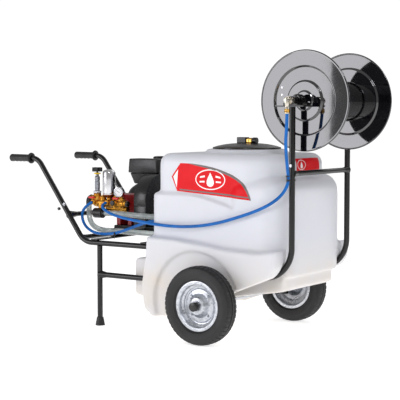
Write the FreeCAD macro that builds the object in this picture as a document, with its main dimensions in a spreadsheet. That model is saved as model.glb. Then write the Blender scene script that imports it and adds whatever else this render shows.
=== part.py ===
import FreeCAD, Part
import math
import os
import re
import types
from FreeCAD import Placement, Rotation, Vector

# Wheeled sprayer cart: a saddle tank on two wheels, an engine-driven plunger pump on a
# platform behind it, and a hose reel on two uprights in front.
# Millimetres.  +X points to the reel, -X to the handles, +Z up, -Y is the right-hand side
# (the pump side).  The origin lies on the floor under the middle of the overall box.

doc = FreeCAD.newDocument("sprayer_cart")
sheet = doc.addObject("Spreadsheet::Sheet", "Sizes")

SIZES = [
    # wheels and axle
    ("tyre_radius", 187.5), ("tyre_width", 89), ("rim_radius", "=tyre_radius - 68.5"),
    ("bead_radius", "=rim_radius - 15"),
    ("wheel_track_half", 424), ("axle_radius", 12.5), ("hub_radius", 26), ("hub_half", 40),
    ("cap_radius", 22), ("cap_length", 24), ("run_gap", 0.05), ("fit_gap", 0.3),
    # frame
    ("tube_dia", 28), ("tube_wall", 2), ("bar_dia", 25), ("rail_half", 264), ("rail_height", 424),
    ("lower_rail_height", 263), ("upright_foot_height", 322), ("upright_x", 400),
    ("upright_bend", 145), ("upright_top", "=reel_height - 28"), ("grip_reach", 1355.5), ("grip_height", 850),
    ("grip_length", 152), ("leg_x", -741.5), ("foot_height", 42), ("plate_thick", 6),
    ("slope_top_x", -1163), ("slope_foot_x", -847.6), ("reel_bar_height", 809.5),
    # tank
    ("tank_wall", 5), ("tank_half", 309), ("tank_top", 893), ("tank_rear", -384), ("tank_front", 370),
    ("fender_half", 356), ("slot_inner", 234), ("slot_outer", 296), ("neck_radius", 200),
    ("neck_height", 19), ("mouth_radius", 150), ("lid_radius", 168.8), ("lid_x", -17),
    ("lid_edge", 9), ("lid_dome", 20),
    # reel
    ("reel_x", 431), ("reel_height", "=tank_top + disc_radius + 16.5"), ("disc_radius", 233.5),
    ("disc_half", 205), ("disc_sheet", 1.5), ("drum_radius", 88), ("shaft_radius", 14), ("block_width", 34),
    ("crank_length", 165), ("knob_length", 90),
    # pump
    ("pump_y", -141), ("pump_z", 620), ("pump_shaft_y", -10), ("pump_shaft_z", "=pump_z + 20"),
    ("manifold_radius", 22), ("chamber_radius", 34), ("gauge_radius", 25), ("pump_pulley_radius", 96),
    # engine
    ("base_top", 505), ("engine_shaft_y", 185), ("engine_shaft_z", 611), ("engine_pulley_radius", 38),
    ("cover_rear", -615), ("cover_width", 75), ("cover_clear", 32),
    # hoses
    ("hose_dia", 15), ("clear_hose_dia", 28),
]
for row, (alias, value) in enumerate(SIZES, 1):
    sheet.set("A%d" % row, alias)
    sheet.setAlias("B%d" % row, alias)
for row, (alias, value) in enumerate(SIZES, 1):
    sheet.set("B%d" % row, str(value))
doc.recompute()
s = types.SimpleNamespace(**{alias: float(sheet.get(alias)) for alias, _ in SIZES})

X, Y, Z = Vector(1, 0, 0), Vector(0, 1, 0), Vector(0, 0, 1)
# the axle stands this far in front of the middle of the overall length
AXLE_X = (s.grip_reach - s.reel_x - s.disc_radius) / 2
TUBE_R = s.tube_dia / 2
SUBPARTS = []


def at(x, y, z):
    """A point given from the axle's middle line on the floor."""
    return Vector(AXLE_X + x, y, z)


def bind(piece, **sizes):
    """Ties a piece's sizes to the sheet: every word with an underscore is an alias."""
    for prop, expression in sizes.items():
        piece.setExpression(prop, re.sub(r"\b([a-z]+(?:_[a-z]+)+)\b", r"Sizes.\1", expression))
    return piece


def cylinder(name, radius, height, base, axis=Z):
    piece = bind(doc.addObject("Part::Cylinder", name), Radius=radius, Height=height)
    piece.Placement = Placement(base, Rotation(Z, axis))
    return piece


def cone(name, radius_a, radius_b, height, base, axis=Z):
    piece = bind(doc.addObject("Part::Cone", name), Radius1=radius_a, Radius2=radius_b, Height=height)
    piece.Placement = Placement(base, Rotation(Z, axis))
    return piece


def box(name, length, width, height, corner):
    piece = bind(doc.addObject("Part::Box", name), Length=length, Width=width, Height=height)
    piece.Placement = Placement(corner, Rotation())
    return piece


def fuse(name, pieces):
    piece = doc.addObject("Part::MultiFuse", name)
    piece.Shapes = pieces
    return piece


def cut(name, base, tools):
    piece = doc.addObject("Part::Cut", name)
    piece.Base = base
    piece.Tool = tools[0] if len(tools) == 1 else fuse(name + "_tools", tools)
    return piece


def rounded(name, base, radius, choose=lambda edge: True):
    """Rounds the chosen edges of a piece."""
    doc.recompute()
    piece = doc.addObject("Part::Fillet", name)
    piece.Base = base
    edges = enumerate(base.Shape.Edges, 1)
    piece.Edges = [(number, radius, radius) for number, edge in edges if choose(edge)]
    return piece


def feature(name, shape, placement=Placement()):
    piece = doc.addObject("Part::Feature", name)
    piece.Shape = shape
    piece.Placement = placement
    return piece


def subpart(label, piece):
    piece.Label = label
    SUBPARTS.append(piece)
    return piece


def along(axis):
    """True for straight edges that run along one axis."""
    def chosen(edge):
        if len(edge.Vertexes) != 2:
            return False
        run = edge.Vertexes[1].Point - edge.Vertexes[0].Point
        return run.Length > 0 and abs(run.normalize().dot(axis)) > 0.999
    return chosen


def route(points, radii):
    """Straight runs joined by tangent arcs."""
    edges = []
    start = points[0]
    for before, corner, after, radius in zip(points, points[1:], points[2:], radii):
        back = (before - corner).normalize()
        ahead = (after - corner).normalize()
        half_turn = (math.pi - back.getAngle(ahead)) / 2
        trim = radius * math.tan(half_turn)
        inward = (back + ahead).normalize()
        middle = corner + inward * (radius / math.cos(half_turn) - radius)
        arc = Part.Arc(corner + back * trim, middle, corner + ahead * trim)
        edges.append(Part.LineSegment(start, corner + back * trim).toShape())
        edges.append(arc.toShape())
        start = corner + ahead * trim
    edges.append(Part.LineSegment(start, points[-1]).toShape())
    return Part.Wire(edges)


def swept(points, radii, radius):
    """A solid round bar along a route."""
    wire = route(points, radii)
    ring = Part.Wire(Part.makeCircle(radius, points[0], points[1] - points[0]))
    return wire.makePipeShell([ring], True, False)


def pipe(points, radii, diameter, wall):
    """A bent tube with open ends."""
    return swept(points, radii, diameter / 2).cut(swept(points, radii, diameter / 2 - wall))


def turned(profile):
    """A solid turned about Z from a closed outline of (radius, height) points and 3-point arcs."""
    edges = []
    start = profile[0]
    for step in profile[1:] + [profile[0]]:
        if len(step) == 4:
            middle, end = step[:2], step[2:]
            edges.append(Part.Arc(*(Vector(r, 0, h) for r, h in (start, middle, end))).toShape())
        else:
            end = step
            edges.append(Part.LineSegment(*(Vector(r, 0, h) for r, h in (start, end))).toShape())
        start = end
    return Part.Face(Part.Wire(edges)).revolve(Vector(), Z, 360)


def dome(radius, height, rise):
    """The last two points of an outline: a shallow dome from (radius, height) up to the axis."""
    ball = (radius ** 2 + rise ** 2) / (2 * rise)
    lean = math.asin(radius / ball) / 2
    top = height + rise
    return (ball * math.sin(lean), top - ball * (1 - math.cos(lean)), 0, top)


def prism(outline, y_low, y_high, inset=0):
    """An outline of (x, z) points from the axle, shrunk by inset, from one y to another."""
    wire = Part.makePolygon([at(x, y_low, z) for x, z in outline + outline[:1]])
    if inset:
        wire = wire.makeOffset2D(-inset)
    return Part.Face(wire).extrude(Vector(0, y_high - y_low, 0))


def block(x_rear, x_front, half, z_low, z_high, rear_r, front_r, top_r):
    """A box centred on y = 0 with rounded upright corners and a rounded top edge."""
    solid = Part.makeBox(x_front - x_rear, 2 * half, z_high - z_low, at(x_rear, -half, z_low))
    rear = [e for e in solid.Edges if along(Z)(e) and e.Vertexes[0].X < AXLE_X + (x_rear + x_front) / 2]
    solid = solid.makeFillet(rear_r, rear)
    front = [e for e in solid.Edges if along(Z)(e)
             and abs(e.Vertexes[0].X - AXLE_X - x_front) < 0.01 and abs(abs(e.Vertexes[0].Y) - half) < 0.01]
    solid = solid.makeFillet(front_r, front)
    top = [e for e in solid.Edges if all(abs(v.Z - z_high) < 0.01 for v in e.Vertexes)]
    return solid.makeFillet(top_r, top) if top_r else solid


# ---------------------------------------------------------------- frame
GRIP_END = -s.grip_reach


def handle_points(y):
    return [at(GRIP_END + 6, y, s.grip_height), at(s.slope_top_x, y, s.grip_height),
            at(s.slope_foot_x, y, s.rail_height), at(-60, y, s.rail_height)]


def upright_points(y):
    return [at(s.upright_x, y, s.upright_top), at(s.upright_x, y, s.upright_foot_height),
            at(60, y, s.upright_foot_height)]


HANDLE_BENDS = [80, 100]
SLOPE = Vector(s.slope_foot_x - s.slope_top_x, 0, s.rail_height - s.grip_height).normalize()
SIDES = (("right", -1), ("left", 1))

for side, sign in SIDES:
    y = sign * s.rail_half
    subpart("handle_tube_" + side,
            feature("HandleTube_" + side, pipe(handle_points(y), HANDLE_BENDS, s.tube_dia, s.tube_wall)))
    upright = pipe(upright_points(y), [s.upright_bend], s.tube_dia, s.tube_wall)
    plate = Part.makeBox(196, 40, s.plate_thick, at(s.upright_x - 96, y - 20, s.upright_top))
    plate = plate.makeFillet(19, [e for e in plate.Edges if along(Z)(e)])
    subpart("front_upright_" + side, feature("FrontUpright_" + side, upright.fuse(plate)))

# lower rails run from the legs to the axle plates and end against both
rails = []
legs = []
feet = []
for side, sign in SIDES:
    y = sign * s.rail_half
    leg = cylinder("LegBar_" + side, "tube_dia / 2", "rail_height - tube_dia / 2 - foot_height / 2",
                   at(s.leg_x, y, s.foot_height / 2))
    rail_start = at(s.leg_x, y, s.lower_rail_height)
    rail_bar = cylinder("RailBar_" + side, "tube_dia / 2", "-leg_x - 60", rail_start, X)
    flare = cone("RailFlare_" + side, "tube_dia / 2 + 8", "tube_dia / 2", "46", rail_start, X)
    bore = cylinder("RailBore_" + side, "tube_dia / 2 - tube_wall", "-leg_x - 60", rail_start, X)
    leg_space = cylinder("LegSpace_" + side, "tube_dia / 2", "rail_height", at(s.leg_x, y, 0))
    rail_form = fuse("LowerRailBody_" + side, [rail_bar, flare])
    rails.append(cut("LowerRail_" + side, rail_form, [bore, leg_space]))
    over = feature("RailOver_" + side, swept(handle_points(y), HANDLE_BENDS, TUBE_R))
    leg_bore = cylinder("LegBore_" + side, "tube_dia / 2 - tube_wall", "rail_height",
                        at(s.leg_x, y, s.foot_height / 2 + 4))
    legs.append(cut("Leg_" + side, leg, [over, leg_bore]))
    shoe = cone("FootCone_" + side, "tube_dia / 2 + 11", "tube_dia / 2 + 3", "foot_height", at(s.leg_x, y, 0))
    hole = cylinder("FootHole_" + side, "tube_dia / 2", "foot_height", at(s.leg_x, y, s.foot_height / 2))
    feet.append(rounded("Foot_" + side, cut("FootCut_" + side, shoe, [hole]), 2,
                        lambda edge: edge.Closed and edge.Vertexes[0].Z < 1))
subpart("lower_rails", fuse("LowerRails", rails))
subpart("legs", fuse("Legs", legs))
subpart("rubber_feet", fuse("RubberFeet", feet))

# moulded grips: closed end, flange, and finger grooves underneath
for side, sign in SIDES:
    y = sign * s.rail_half
    length = s.grip_length
    body = turned([(0, 0), (15, 0, ), (20, 5), (19, length - 14), (20, length - 12), (29, length - 10),
                   (29, length - 4), (20, length), (TUBE_R, length), (TUBE_R, 6), (0, 6)])
    body.Placement = Placement(at(GRIP_END, y, s.grip_height), Rotation(Z, X))
    for groove in range(4):
        knuckle = Part.makeCylinder(11, 60, at(GRIP_END + 30 + groove * 26, y - 30, s.grip_height - 26), Y)
        body = body.cut(knuckle)
    subpart("grip_" + side, feature("Grip_" + side, body))


def cross_tube(name, x, z, flare, around, reach):
    """A tube between the two sides of the frame, with flared ends shaped to what it meets."""
    bar = cylinder(name + "Bar", "bar_dia / 2", "2 * rail_half", at(x, -s.rail_half, z), Y)
    ends = [cone(name + "EndRight", flare, "bar_dia / 2", reach, at(x, -s.rail_half, z), Y),
            cone(name + "EndLeft", flare, "bar_dia / 2", reach, at(x, s.rail_half, z), Y * -1)]
    bore = cylinder(name + "Bore", "bar_dia / 2 - tube_wall", "2 * rail_half", at(x, -s.rail_half, z), Y)
    return cut(name, fuse(name + "Body", [bar] + ends), [bore] + around(name))


def around_handles(name):
    return [feature(name + "Side%d" % sign, swept(handle_points(sign * s.rail_half), HANDLE_BENDS, TUBE_R))
            for _, sign in SIDES]


def around_uprights(name):
    return [feature(name + "Side%d" % sign,
                    swept(upright_points(sign * s.rail_half), [s.upright_bend], TUBE_R)) for _, sign in SIDES]


def slope_point(height):
    return s.slope_foot_x + (height - s.rail_height) / SLOPE.z * SLOPE.x


subpart("crossbars", fuse("Crossbars", [
    cross_tube("UpperCross", slope_point(560), 560, "bar_dia / 2 + 9", around_handles, "62"),
    cross_tube("LowerCross", slope_point(446), 446, "bar_dia / 2 + 3", around_handles, "40"),
    cross_tube("ReelCross", s.upright_x, s.reel_bar_height, "bar_dia / 2 + 7", around_uprights, "40")]))

# axle through two plates that hang under the rails
axle_half = s.wheel_track_half + s.hub_half + 8
subpart("axle", cylinder("Axle", "axle_radius", "2 * (wheel_track_half + hub_half + 8)",
                         at(0, -axle_half, s.tyre_radius), Y))
plates = []
for side, sign in SIDES:
    y = sign * s.rail_half
    plate = box("AxlePlateBox_" + side, "120", "20", "rail_height - tube_dia / 2 - tyre_radius + 22.5",
                at(-60, y - 10, s.tyre_radius - 22.5))
    hole = cylinder("AxlePlateHole_" + side, "axle_radius", "40", at(0, y - 20, s.tyre_radius), Y)
    plates.append(cut("AxlePlate_" + side, plate, [hole]))
subpart("axle_plates", fuse("AxlePlates", plates))

# folded steel platform on two flat bars that lie across the rails
BAR_LOW = s.rail_height + TUBE_R
bars = [box("BaseBar%d" % number, "40", "2 * rail_half + tube_dia", "6",
            at(x, -s.rail_half - TUBE_R, BAR_LOW)) for number, x in enumerate((-788, -470))]
subpart("platform_bars", fuse("PlatformBars", bars))
low = BAR_LOW + 6
top = s.base_top
platform = prism([(-800, low), (-774, low), (-764, top - 4), (-462, top - 4), (-458, low), (-430, low),
                  (-430, low + 4), (-454, low + 4), (-458, top), (-767, top), (-777, low + 4),
                  (-800, low + 4)], -114, 300)
subpart("engine_platform", feature("EnginePlatform", platform))

# ---------------------------------------------------------------- tank
FENDER = [(-379, 485), (-220, 482), (-60, 466), (90, 447), (255, 441), (366, 458), (366, 380), (335, 330),
          (135, 250), (50, 212), (-45, 206), (-95, 150), (-230, 100), (-345, 94), (-392, 130), (-408, 230),
          (-400, 300), (-382, 400)]
SUMP = [(340, 262), (340, 420), (-384, 420), (-384, 372), (-528, 359), (-539, 345), (-539, 185), (-525, 170),
        (-110, 170), (-60, 206), (50, 206), (325, 253)]
ARCH = (-85, 187, 243)
# the body's side ends in a crest that drops away to the front, below the narrower head
CREST = [(-400, 701), (-169, 700), (-90, 688), (-15, 672), (65, 650), (116, 626), (160, 596), (400, 596)]
SIDE_STEP = 17


def tank_form(i):
    """The tank's form, every wall moved inwards by i."""
    wall = s.tank_half - i
    body = block(s.tank_rear + i, s.tank_front - i, wall, 322 + i, 700 - i, 50 - i, 115 - i, 14 - i)
    for _, sign in SIDES:
        side_cut = sorted((sign * (wall - SIDE_STEP), sign * (wall + SIDE_STEP)))
        body = body.cut(prism([(x, z - i) for x, z in CREST] + [(400, 760), (-400, 760)], *side_cut))
    upper = block(-361 + i, 322 - i, wall - SIDE_STEP, 500, s.tank_top - i, 60 - i, 190 - i, 52 - i)
    shoulder = block(60 + i, s.tank_front - i, wall - 3, 500, 792 - i, 70 - i, 115 - i, 82 - i)
    form = body.fuse([upper, shoulder, prism(SUMP, -s.slot_inner + i, s.slot_inner - i, i)])
    for _, sign in SIDES:
        skin = sign * (s.fender_half - i)
        inner = sign * (s.slot_outer - 40)
        fender = prism(FENDER, min(skin, inner), max(skin, inner), i)
        outer_edges = [e for e in fender.Edges
                       if all(abs(v.Y - skin) < 0.01 for v in e.Vertexes)]
        fender = fender.makeFillet(12 - i, outer_edges)
        recess_start = at(ARCH[0], sign * (s.fender_half - 22 - i), ARCH[1])
        recess = Part.makeCylinder(ARCH[2] + i, 60, recess_start, Y * sign)
        form = form.fuse(fender.cut(recess))
    for _, sign in SIDES:
        low_y = min(sign * (s.slot_inner - i), sign * (s.slot_outer + i))
        width = s.slot_outer - s.slot_inner + 2 * i
        rear = Part.makeBox(620, width, s.rail_height + TUBE_R + 8 + i, at(-540, low_y, 0))
        front = Part.makeBox(360, width, s.upright_foot_height + TUBE_R + 8 + i, at(70, low_y, 0))
        form = form.cut(rear.fuse(front))
        form = form.cut(swept(upright_points(sign * s.rail_half), [s.upright_bend], TUBE_R + 6 + i))
    return form.removeSplitter()


NECK_TOP = s.tank_top + s.neck_height
outer = tank_form(0)
neck = Part.makeCylinder(s.neck_radius, NECK_TOP - s.tank_top + 40, at(s.lid_x, 0, s.tank_top - 40))
neck = neck.makeFillet(10, [e for e in neck.Edges if e.Closed and e.Vertexes[0].Z > NECK_TOP - 1])
outer = outer.fuse(neck).removeSplitter()
mouth = Part.makeCylinder(s.mouth_radius, 120, at(s.lid_x, 0, s.tank_top - 60))
tank_shape = outer.cut(tank_form(s.tank_wall)).cut(mouth)
subpart("tank", feature("Tank", tank_shape))

# lid: a flange on the neck, a low dome and a skirt that drops into the mouth
lid_profile = [(0, 0), (s.mouth_radius - 12, 0), (s.mouth_radius - 12, -26), (s.mouth_radius - 4, -26),
               (s.mouth_radius - 4, 0), (s.lid_radius, 0), (s.lid_radius, s.lid_edge - 2),
               (s.lid_radius - 3, s.lid_edge), (s.lid_radius - 9, s.lid_edge),
               (s.lid_radius - 12, s.lid_edge + 3),
               dome(s.lid_radius - 12, s.lid_edge + 3, s.lid_dome - 3)]
LID_PLACE = Placement(at(s.lid_x, 0, NECK_TOP + s.fit_gap), Rotation())
subpart("lid", feature("Lid", turned(lid_profile), LID_PLACE))
LID_TOP = NECK_TOP + s.fit_gap + s.lid_edge + s.lid_dome
filler = [box("FillerBlock", "52", "34", "34", at(-66, -17, LID_TOP - 6)),
          cylinder("FillerStem", "9", "16", at(-40, 0, LID_TOP - 6)),
          cylinder("FillerBrass", "12", "34", at(-14, 0, LID_TOP + 11), X),
          cylinder("FillerCap", "16", "22", at(20, 0, LID_TOP + 11), X)]
lid_over = feature("LidOver", turned([(0, 0)] + lid_profile[5:]), LID_PLACE)
subpart("filler_fitting", cut("FillerFitting", fuse("FillerBody", filler), [lid_over]))

# hose tails on the rear wall and the drain plug under the sump
TAILS = (("return", -225, 550, s.hose_dia), ("bypass", -165, 477, s.clear_hose_dia),
         ("suction", -165, 562, s.clear_hose_dia))
tails = []
for name, y, z, hose in TAILS:
    flange = Part.makeCylinder(hose / 2 + 7, 10, at(s.tank_rear, y, z), X * -1)
    spigot = Part.makeCylinder(hose / 2 + 3, 22, at(s.tank_rear - 10, y, z), X * -1)
    tails.append(flange.fuse(spigot).cut(Part.makeCylinder(hose / 2 - 3, 40, at(s.tank_rear, y, z), X * -1)))
drain = Part.makeCylinder(28, 12, at(-300, 0, 158)).fuse(Part.makeCylinder(12, 10, at(-300, 0, 150)))
subpart("tank_fittings", feature("TankFittings", Part.makeCompound(tails + [drain])))

# ---------------------------------------------------------------- wheels
RIM_HALF = 31
WEB = s.bead_radius / 104
rim_profile = [(s.rim_radius, RIM_HALF), (s.rim_radius, RIM_HALF - 4), (s.bead_radius + 3, RIM_HALF - 3),
               (s.bead_radius, RIM_HALF - 7), (s.bead_radius - 2, 12), (92 * WEB, 8), (92 * WEB, -8),
               (s.bead_radius - 2, -12), (s.bead_radius, 7 - RIM_HALF), (s.bead_radius + 3, 3 - RIM_HALF),
               (s.rim_radius, 4 - RIM_HALF), (s.rim_radius, -RIM_HALF), (s.bead_radius + 1, 1 - RIM_HALF),
               (s.bead_radius - 3, 4 - RIM_HALF), (s.bead_radius - 5, -13), (89 * WEB, -9), (80 * WEB, -6),
               (76 * WEB, 2), (56 * WEB, 4), (50 * WEB, 12), (38 * WEB, 30), (s.hub_radius, 34),
               (s.hub_radius, 37), (40 * WEB, 33.5), (53 * WEB, 14), (58 * WEB, 7.5), (77 * WEB, 5.5),
               (83 * WEB, -2), (89 * WEB, 0), (89 * WEB, 9), (s.bead_radius - 5, 13),
               (s.bead_radius - 3, RIM_HALF - 4), (s.bead_radius + 1, RIM_HALF - 1)]
half_width = s.tyre_width / 2
tyre_in = s.bead_radius + 0.2
bead_half = RIM_HALF - 5
tyre_profile = [(tyre_in, bead_half - 3), (s.bead_radius + 4, bead_half), (s.rim_radius + 1, bead_half),
                (s.rim_radius + 5, bead_half + 9),
                (s.rim_radius + 22, half_width, s.tyre_radius - 15, half_width - 5),
                (s.tyre_radius - 7, half_width - 11), (s.tyre_radius, 0, s.tyre_radius - 7, 11 - half_width),
                (s.tyre_radius - 15, 5 - half_width),
                (s.rim_radius + 22, -half_width, s.rim_radius + 5, -bead_half - 9),
                (s.rim_radius + 1, -bead_half), (s.bead_radius + 4, -bead_half), (tyre_in, 3 - bead_half),
                (tyre_in, 9 - bead_half), (s.rim_radius + 2, 9 - bead_half), (s.rim_radius + 8, -bead_half),
                (s.rim_radius + 22, 8 - half_width, s.tyre_radius - 22, 14 - half_width),
                (s.tyre_radius - 12, 0, s.tyre_radius - 22, half_width - 14),
                (s.rim_radius + 22, half_width - 8, s.rim_radius + 8, bead_half),
                (s.rim_radius + 2, bead_half - 9), (tyre_in, bead_half - 9)]
for side, sign in SIDES:
    place = Placement(at(0, sign * s.wheel_track_half, s.tyre_radius), Rotation(Z, Y * sign))
    subpart("tyre_" + side, feature("Tyre_" + side, turned(tyre_profile), place))
    rim = turned(rim_profile)
    subpart("rim_" + side, feature("Rim_" + side, rim, place))
    start = at(0, sign * (s.wheel_track_half - s.hub_half), s.tyre_radius)
    hub = cylinder("HubBody_" + side, "hub_radius", "2 * hub_half", start, Y * sign)
    bore = cylinder("HubBore_" + side, "axle_radius + run_gap", "2 * hub_half", start, Y * sign)
    hub = cut("Hub_" + side, hub, [bore])
    end = start + Y * sign * 2 * s.hub_half
    cap = cylinder("CapBody_" + side, "cap_radius", "cap_length", end, Y * sign)
    space = cylinder("CapSpace_" + side, "axle_radius + 2", "cap_length - 6", end, Y * sign)
    subpart("hub_cap_" + side, cut("HubCap_" + side, cap, [space]))
    bolts = []
    for number in range(4):
        angle = math.radians(45 + 90 * number)
        centre = Vector(66 * WEB * math.cos(angle), 66 * WEB * math.sin(angle), 6.2)
        corners = [math.radians(60 * corner) for corner in range(7)]
        head = Part.makePolygon([centre + Vector(7.5 * math.cos(a), 7.5 * math.sin(a), 0) for a in corners])
        bolts.append(Part.Face(head).extrude(Vector(0, 0, 6)))
        bolts[-1] = bolts[-1].fuse(Part.makeCylinder(4, 10, centre))
    bolts = feature("WheelBolts_" + side, Part.makeCompound(bolts).cut(rim), place)
    subpart("hub_and_bolts_" + side, fuse("HubAndBolts_" + side, [hub, bolts]))

# ---------------------------------------------------------------- hose reel
# pressed steps in each disc: share of the radius, and height
STEPS = ((0.69, 8), (0.67, 0), (0.40, 0), (0.38, 7), (0.20, 7), (0.18, 12))
EDGE_ROLL = 3.5
steps = [(s.disc_radius, 4), (s.disc_radius - 4, 8)]
steps += [(s.disc_radius * share, height) for share, height in STEPS] + [(s.shaft_radius, 12)]
disc_profile = steps + [(radius, height + s.disc_sheet) for radius, height in reversed(steps)]
for side, sign in SIDES:
    place = Placement(at(s.reel_x, sign * s.disc_half, s.reel_height), Rotation(Z, Y * sign))
    ring = Part.makeTorus(s.disc_radius - EDGE_ROLL, EDGE_ROLL, Vector(0, 0, 5))
    disc = turned(disc_profile).fuse(ring)
    subpart("reel_disc_" + side, feature("ReelDisc_" + side, disc.removeSplitter(), place))
drum_start = at(s.reel_x, -s.disc_half, s.reel_height)
drum = cylinder("DrumBody", "drum_radius", "2 * disc_half", drum_start, Y)
drum_bore = cylinder("DrumBore", "drum_radius - 2", "2 * disc_half", drum_start, Y)
subpart("reel_drum", cut("ReelDrum", drum, [drum_bore]))
SHAFT_END = s.rail_half + s.block_width / 2 + 44
subpart("reel_shaft", cylinder("ReelShaft", "shaft_radius", "2 * rail_half + block_width + 88",
                               at(s.reel_x, -SHAFT_END, s.reel_height), Y))
blocks = []
for side, sign in SIDES:
    y = sign * s.rail_half - s.block_width / 2
    foot = s.upright_top + s.plate_thick
    base = box("BlockBase_" + side, "124", "block_width", "12", at(s.reel_x - 70, y, foot))
    body = box("BlockBody_" + side, "60", "block_width", "reel_height - upright_top - plate_thick",
               at(s.reel_x - 30, y, foot))
    under = box("BlockUnder_" + side, "124", "block_width", "20", at(s.reel_x - 70, y, foot - 20))
    eye = cylinder("BlockEye_" + side, "29", "block_width", at(s.reel_x, y, s.reel_height), Y)
    bore = cylinder("BlockBore_" + side, "shaft_radius + run_gap", "block_width",
                    at(s.reel_x, y, s.reel_height), Y)
    blocks.append(cut("Block_" + side, fuse("BlockForm_" + side, [base, body, eye]), [bore, under]))
subpart("reel_bearings", fuse("ReelBearings", blocks))

# the swivel joins the delivery hose to the turning shaft
SWIVEL_Y = -SHAFT_END - 30
swivel = [cylinder("SwivelNut", "19", "26", at(s.reel_x, -SHAFT_END - 1, s.reel_height), Y * -1),
          cylinder("SwivelNeck", "12", "48", at(s.reel_x, -SHAFT_END - 1, s.reel_height), Y * -1),
          cylinder("SwivelElbow", "10.5", "36", at(s.reel_x, SWIVEL_Y - 9, s.reel_height + 15), Z * -1),
          cylinder("SwivelTail", "9", "58", at(s.reel_x, SWIVEL_Y - 9, s.reel_height - 2), Z * -1),
          cylinder("SwivelFerrule", "11.5", "19", at(s.reel_x, SWIVEL_Y - 9, s.reel_height - 37), Z * -1)]
subpart("swivel", fuse("Swivel", swivel))
TAIL_LOW = s.reel_height - 60

# winding crank on the left-hand end of the shaft
CRANK_Y = SHAFT_END - 14
arm = box("CrankBar", "crank_length", "12", "24", at(s.reel_x - s.crank_length, CRANK_Y, s.reel_height - 12))
boss = cylinder("CrankBoss", "24", "12", at(s.reel_x, CRANK_Y, s.reel_height), Y)
tip = cylinder("CrankTip", "12", "12", at(s.reel_x - s.crank_length, CRANK_Y, s.reel_height), Y)
pin = cylinder("CrankPin", "6", "knob_length + 2", at(s.reel_x - s.crank_length, CRANK_Y, s.reel_height), Y)
bore = cylinder("CrankBore", "shaft_radius", "12", at(s.reel_x, CRANK_Y, s.reel_height), Y)
subpart("crank_arm", cut("CrankArm", fuse("CrankBody", [arm, boss, tip, pin]), [bore]))
knob_base = at(s.reel_x - s.crank_length, CRANK_Y + 12 + s.fit_gap, s.reel_height)
knob = cut("CrankKnob", cylinder("KnobBody", "15", "knob_length", knob_base, Y),
           [cylinder("KnobBore", "6 + run_gap", "knob_length - 8", knob_base, Y)])
subpart("crank_knob", rounded("CrankKnobRound", knob, 4, lambda e: e.Closed and e.Length > 80))

# ---------------------------------------------------------------- pump
crankcase = [box("CrankcaseBox", "176", "118", "104", at(-833, -76, s.pump_z - 60)),
             cylinder("CrankcaseNose", "26", "30", at(-657, s.pump_shaft_y, s.pump_shaft_z), X),
             box("PumpFootRear", "26", "150", "pump_z - base_top - 59", at(-764, -100, s.base_top)),
             box("PumpFootFront", "26", "150", "pump_z - base_top - 59", at(-690, -100, s.base_top))]
crankcase += [cylinder("Plunger%d" % n, "19", "26", at(x, -76, s.pump_z), Y * -1)
              for n, x in enumerate((-820, -772, -724))]
case = fuse("CrankcaseBody", crankcase)
manifold_over = cylinder("ManifoldOver", "manifold_radius", "200", at(-870, s.pump_y, s.pump_z), X)
case_bore = cylinder("CrankcaseBore", "12 + run_gap", "60", at(-680, s.pump_shaft_y, s.pump_shaft_z), X)
subpart("pump_crankcase", cut("PumpCrankcase", case, [manifold_over, case_bore]))

REG_X = -858
# the outlets along the manifold, and the two valve levers with the way they point
OUTLETS = (-862, -771, -722)
VALVES = ((-862, -1), (-722, 1))
OUTLET_Z = s.pump_z + 5
OUTLET_END = s.pump_y - 38
manifold = [cylinder("ManifoldBar", "manifold_radius", "188", at(-862, s.pump_y, s.pump_z), X),
            cylinder("ManifoldEnd", "16", "10", at(-674, s.pump_y, s.pump_z), X),
            cylinder("SuctionBar", "16", "136", at(-806, s.pump_y + 19, s.pump_z - 28), X)]
manifold += [cylinder("ValveChamber%d" % n, "17", "58", at(x, s.pump_y, s.pump_z - 24))
             for n, x in enumerate((-820, -736, -700))]
manifold += [cylinder("ValveNut%d" % n, "10", "6", at(x, s.pump_y, s.pump_z + 34))
             for n, x in enumerate((-820, -736))]
manifold += [cylinder("RegulatorSeat", "20", "66", at(REG_X, s.pump_y, s.pump_z - 16)),
             cylinder("ChamberNeck", "13", "29", at(-779, s.pump_y, s.pump_z)),
             cylinder("GaugeStem", "6", "16", at(-706, s.pump_y, s.pump_z + 20)),
             cylinder("BypassPort", "14", "30", at(REG_X - 12, s.pump_y, s.pump_z + 26), X * -1),
             cylinder("SuctionDrop", "15", "50", at(-826, s.pump_y - 8, s.pump_z - 50))]
manifold += [cylinder("Outlet%d" % n, "11", "38", at(x, s.pump_y, OUTLET_Z), Y * -1)
             for n, x in enumerate(OUTLETS)]
manifold += [cylinder("OutletNut%d" % n, "14", "13", at(x, s.pump_y - 23, OUTLET_Z), Y * -1)
             for n, x in enumerate(OUTLETS)]
manifold += [cylinder("LeverPost%d" % n, "3", "32", at(x, s.pump_y - 30, OUTLET_Z))
             for n, (x, _) in enumerate(VALVES)]
SUCTION_Z = s.pump_z - 52
STRAINER_Y = -162
strainer_space = cylinder("StrainerSpace", "26", "74", at(-862, STRAINER_Y, SUCTION_Z), X)
subpart("pump_manifold", cut("PumpManifold", fuse("ManifoldBody", manifold), [strainer_space]))
strainer = [cylinder("StrainerBody", "26", "56", at(-858, STRAINER_Y, SUCTION_Z), X),
            cylinder("StrainerTail", "17", "12", at(-802, STRAINER_Y, SUCTION_Z), X)]
subpart("suction_strainer", fuse("SuctionStrainer", strainer))

# air chamber: a spun steel dome on a coppery cone
chamber = turned([(14, 0), (30, 12), (s.chamber_radius, 16), (s.chamber_radius, 129),
                  dome(s.chamber_radius, 129, 19), (0, 0)])
subpart("air_chamber", feature("AirChamber", chamber,
                               Placement(at(-779, s.pump_y, s.pump_z + 29), Rotation())))

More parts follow.
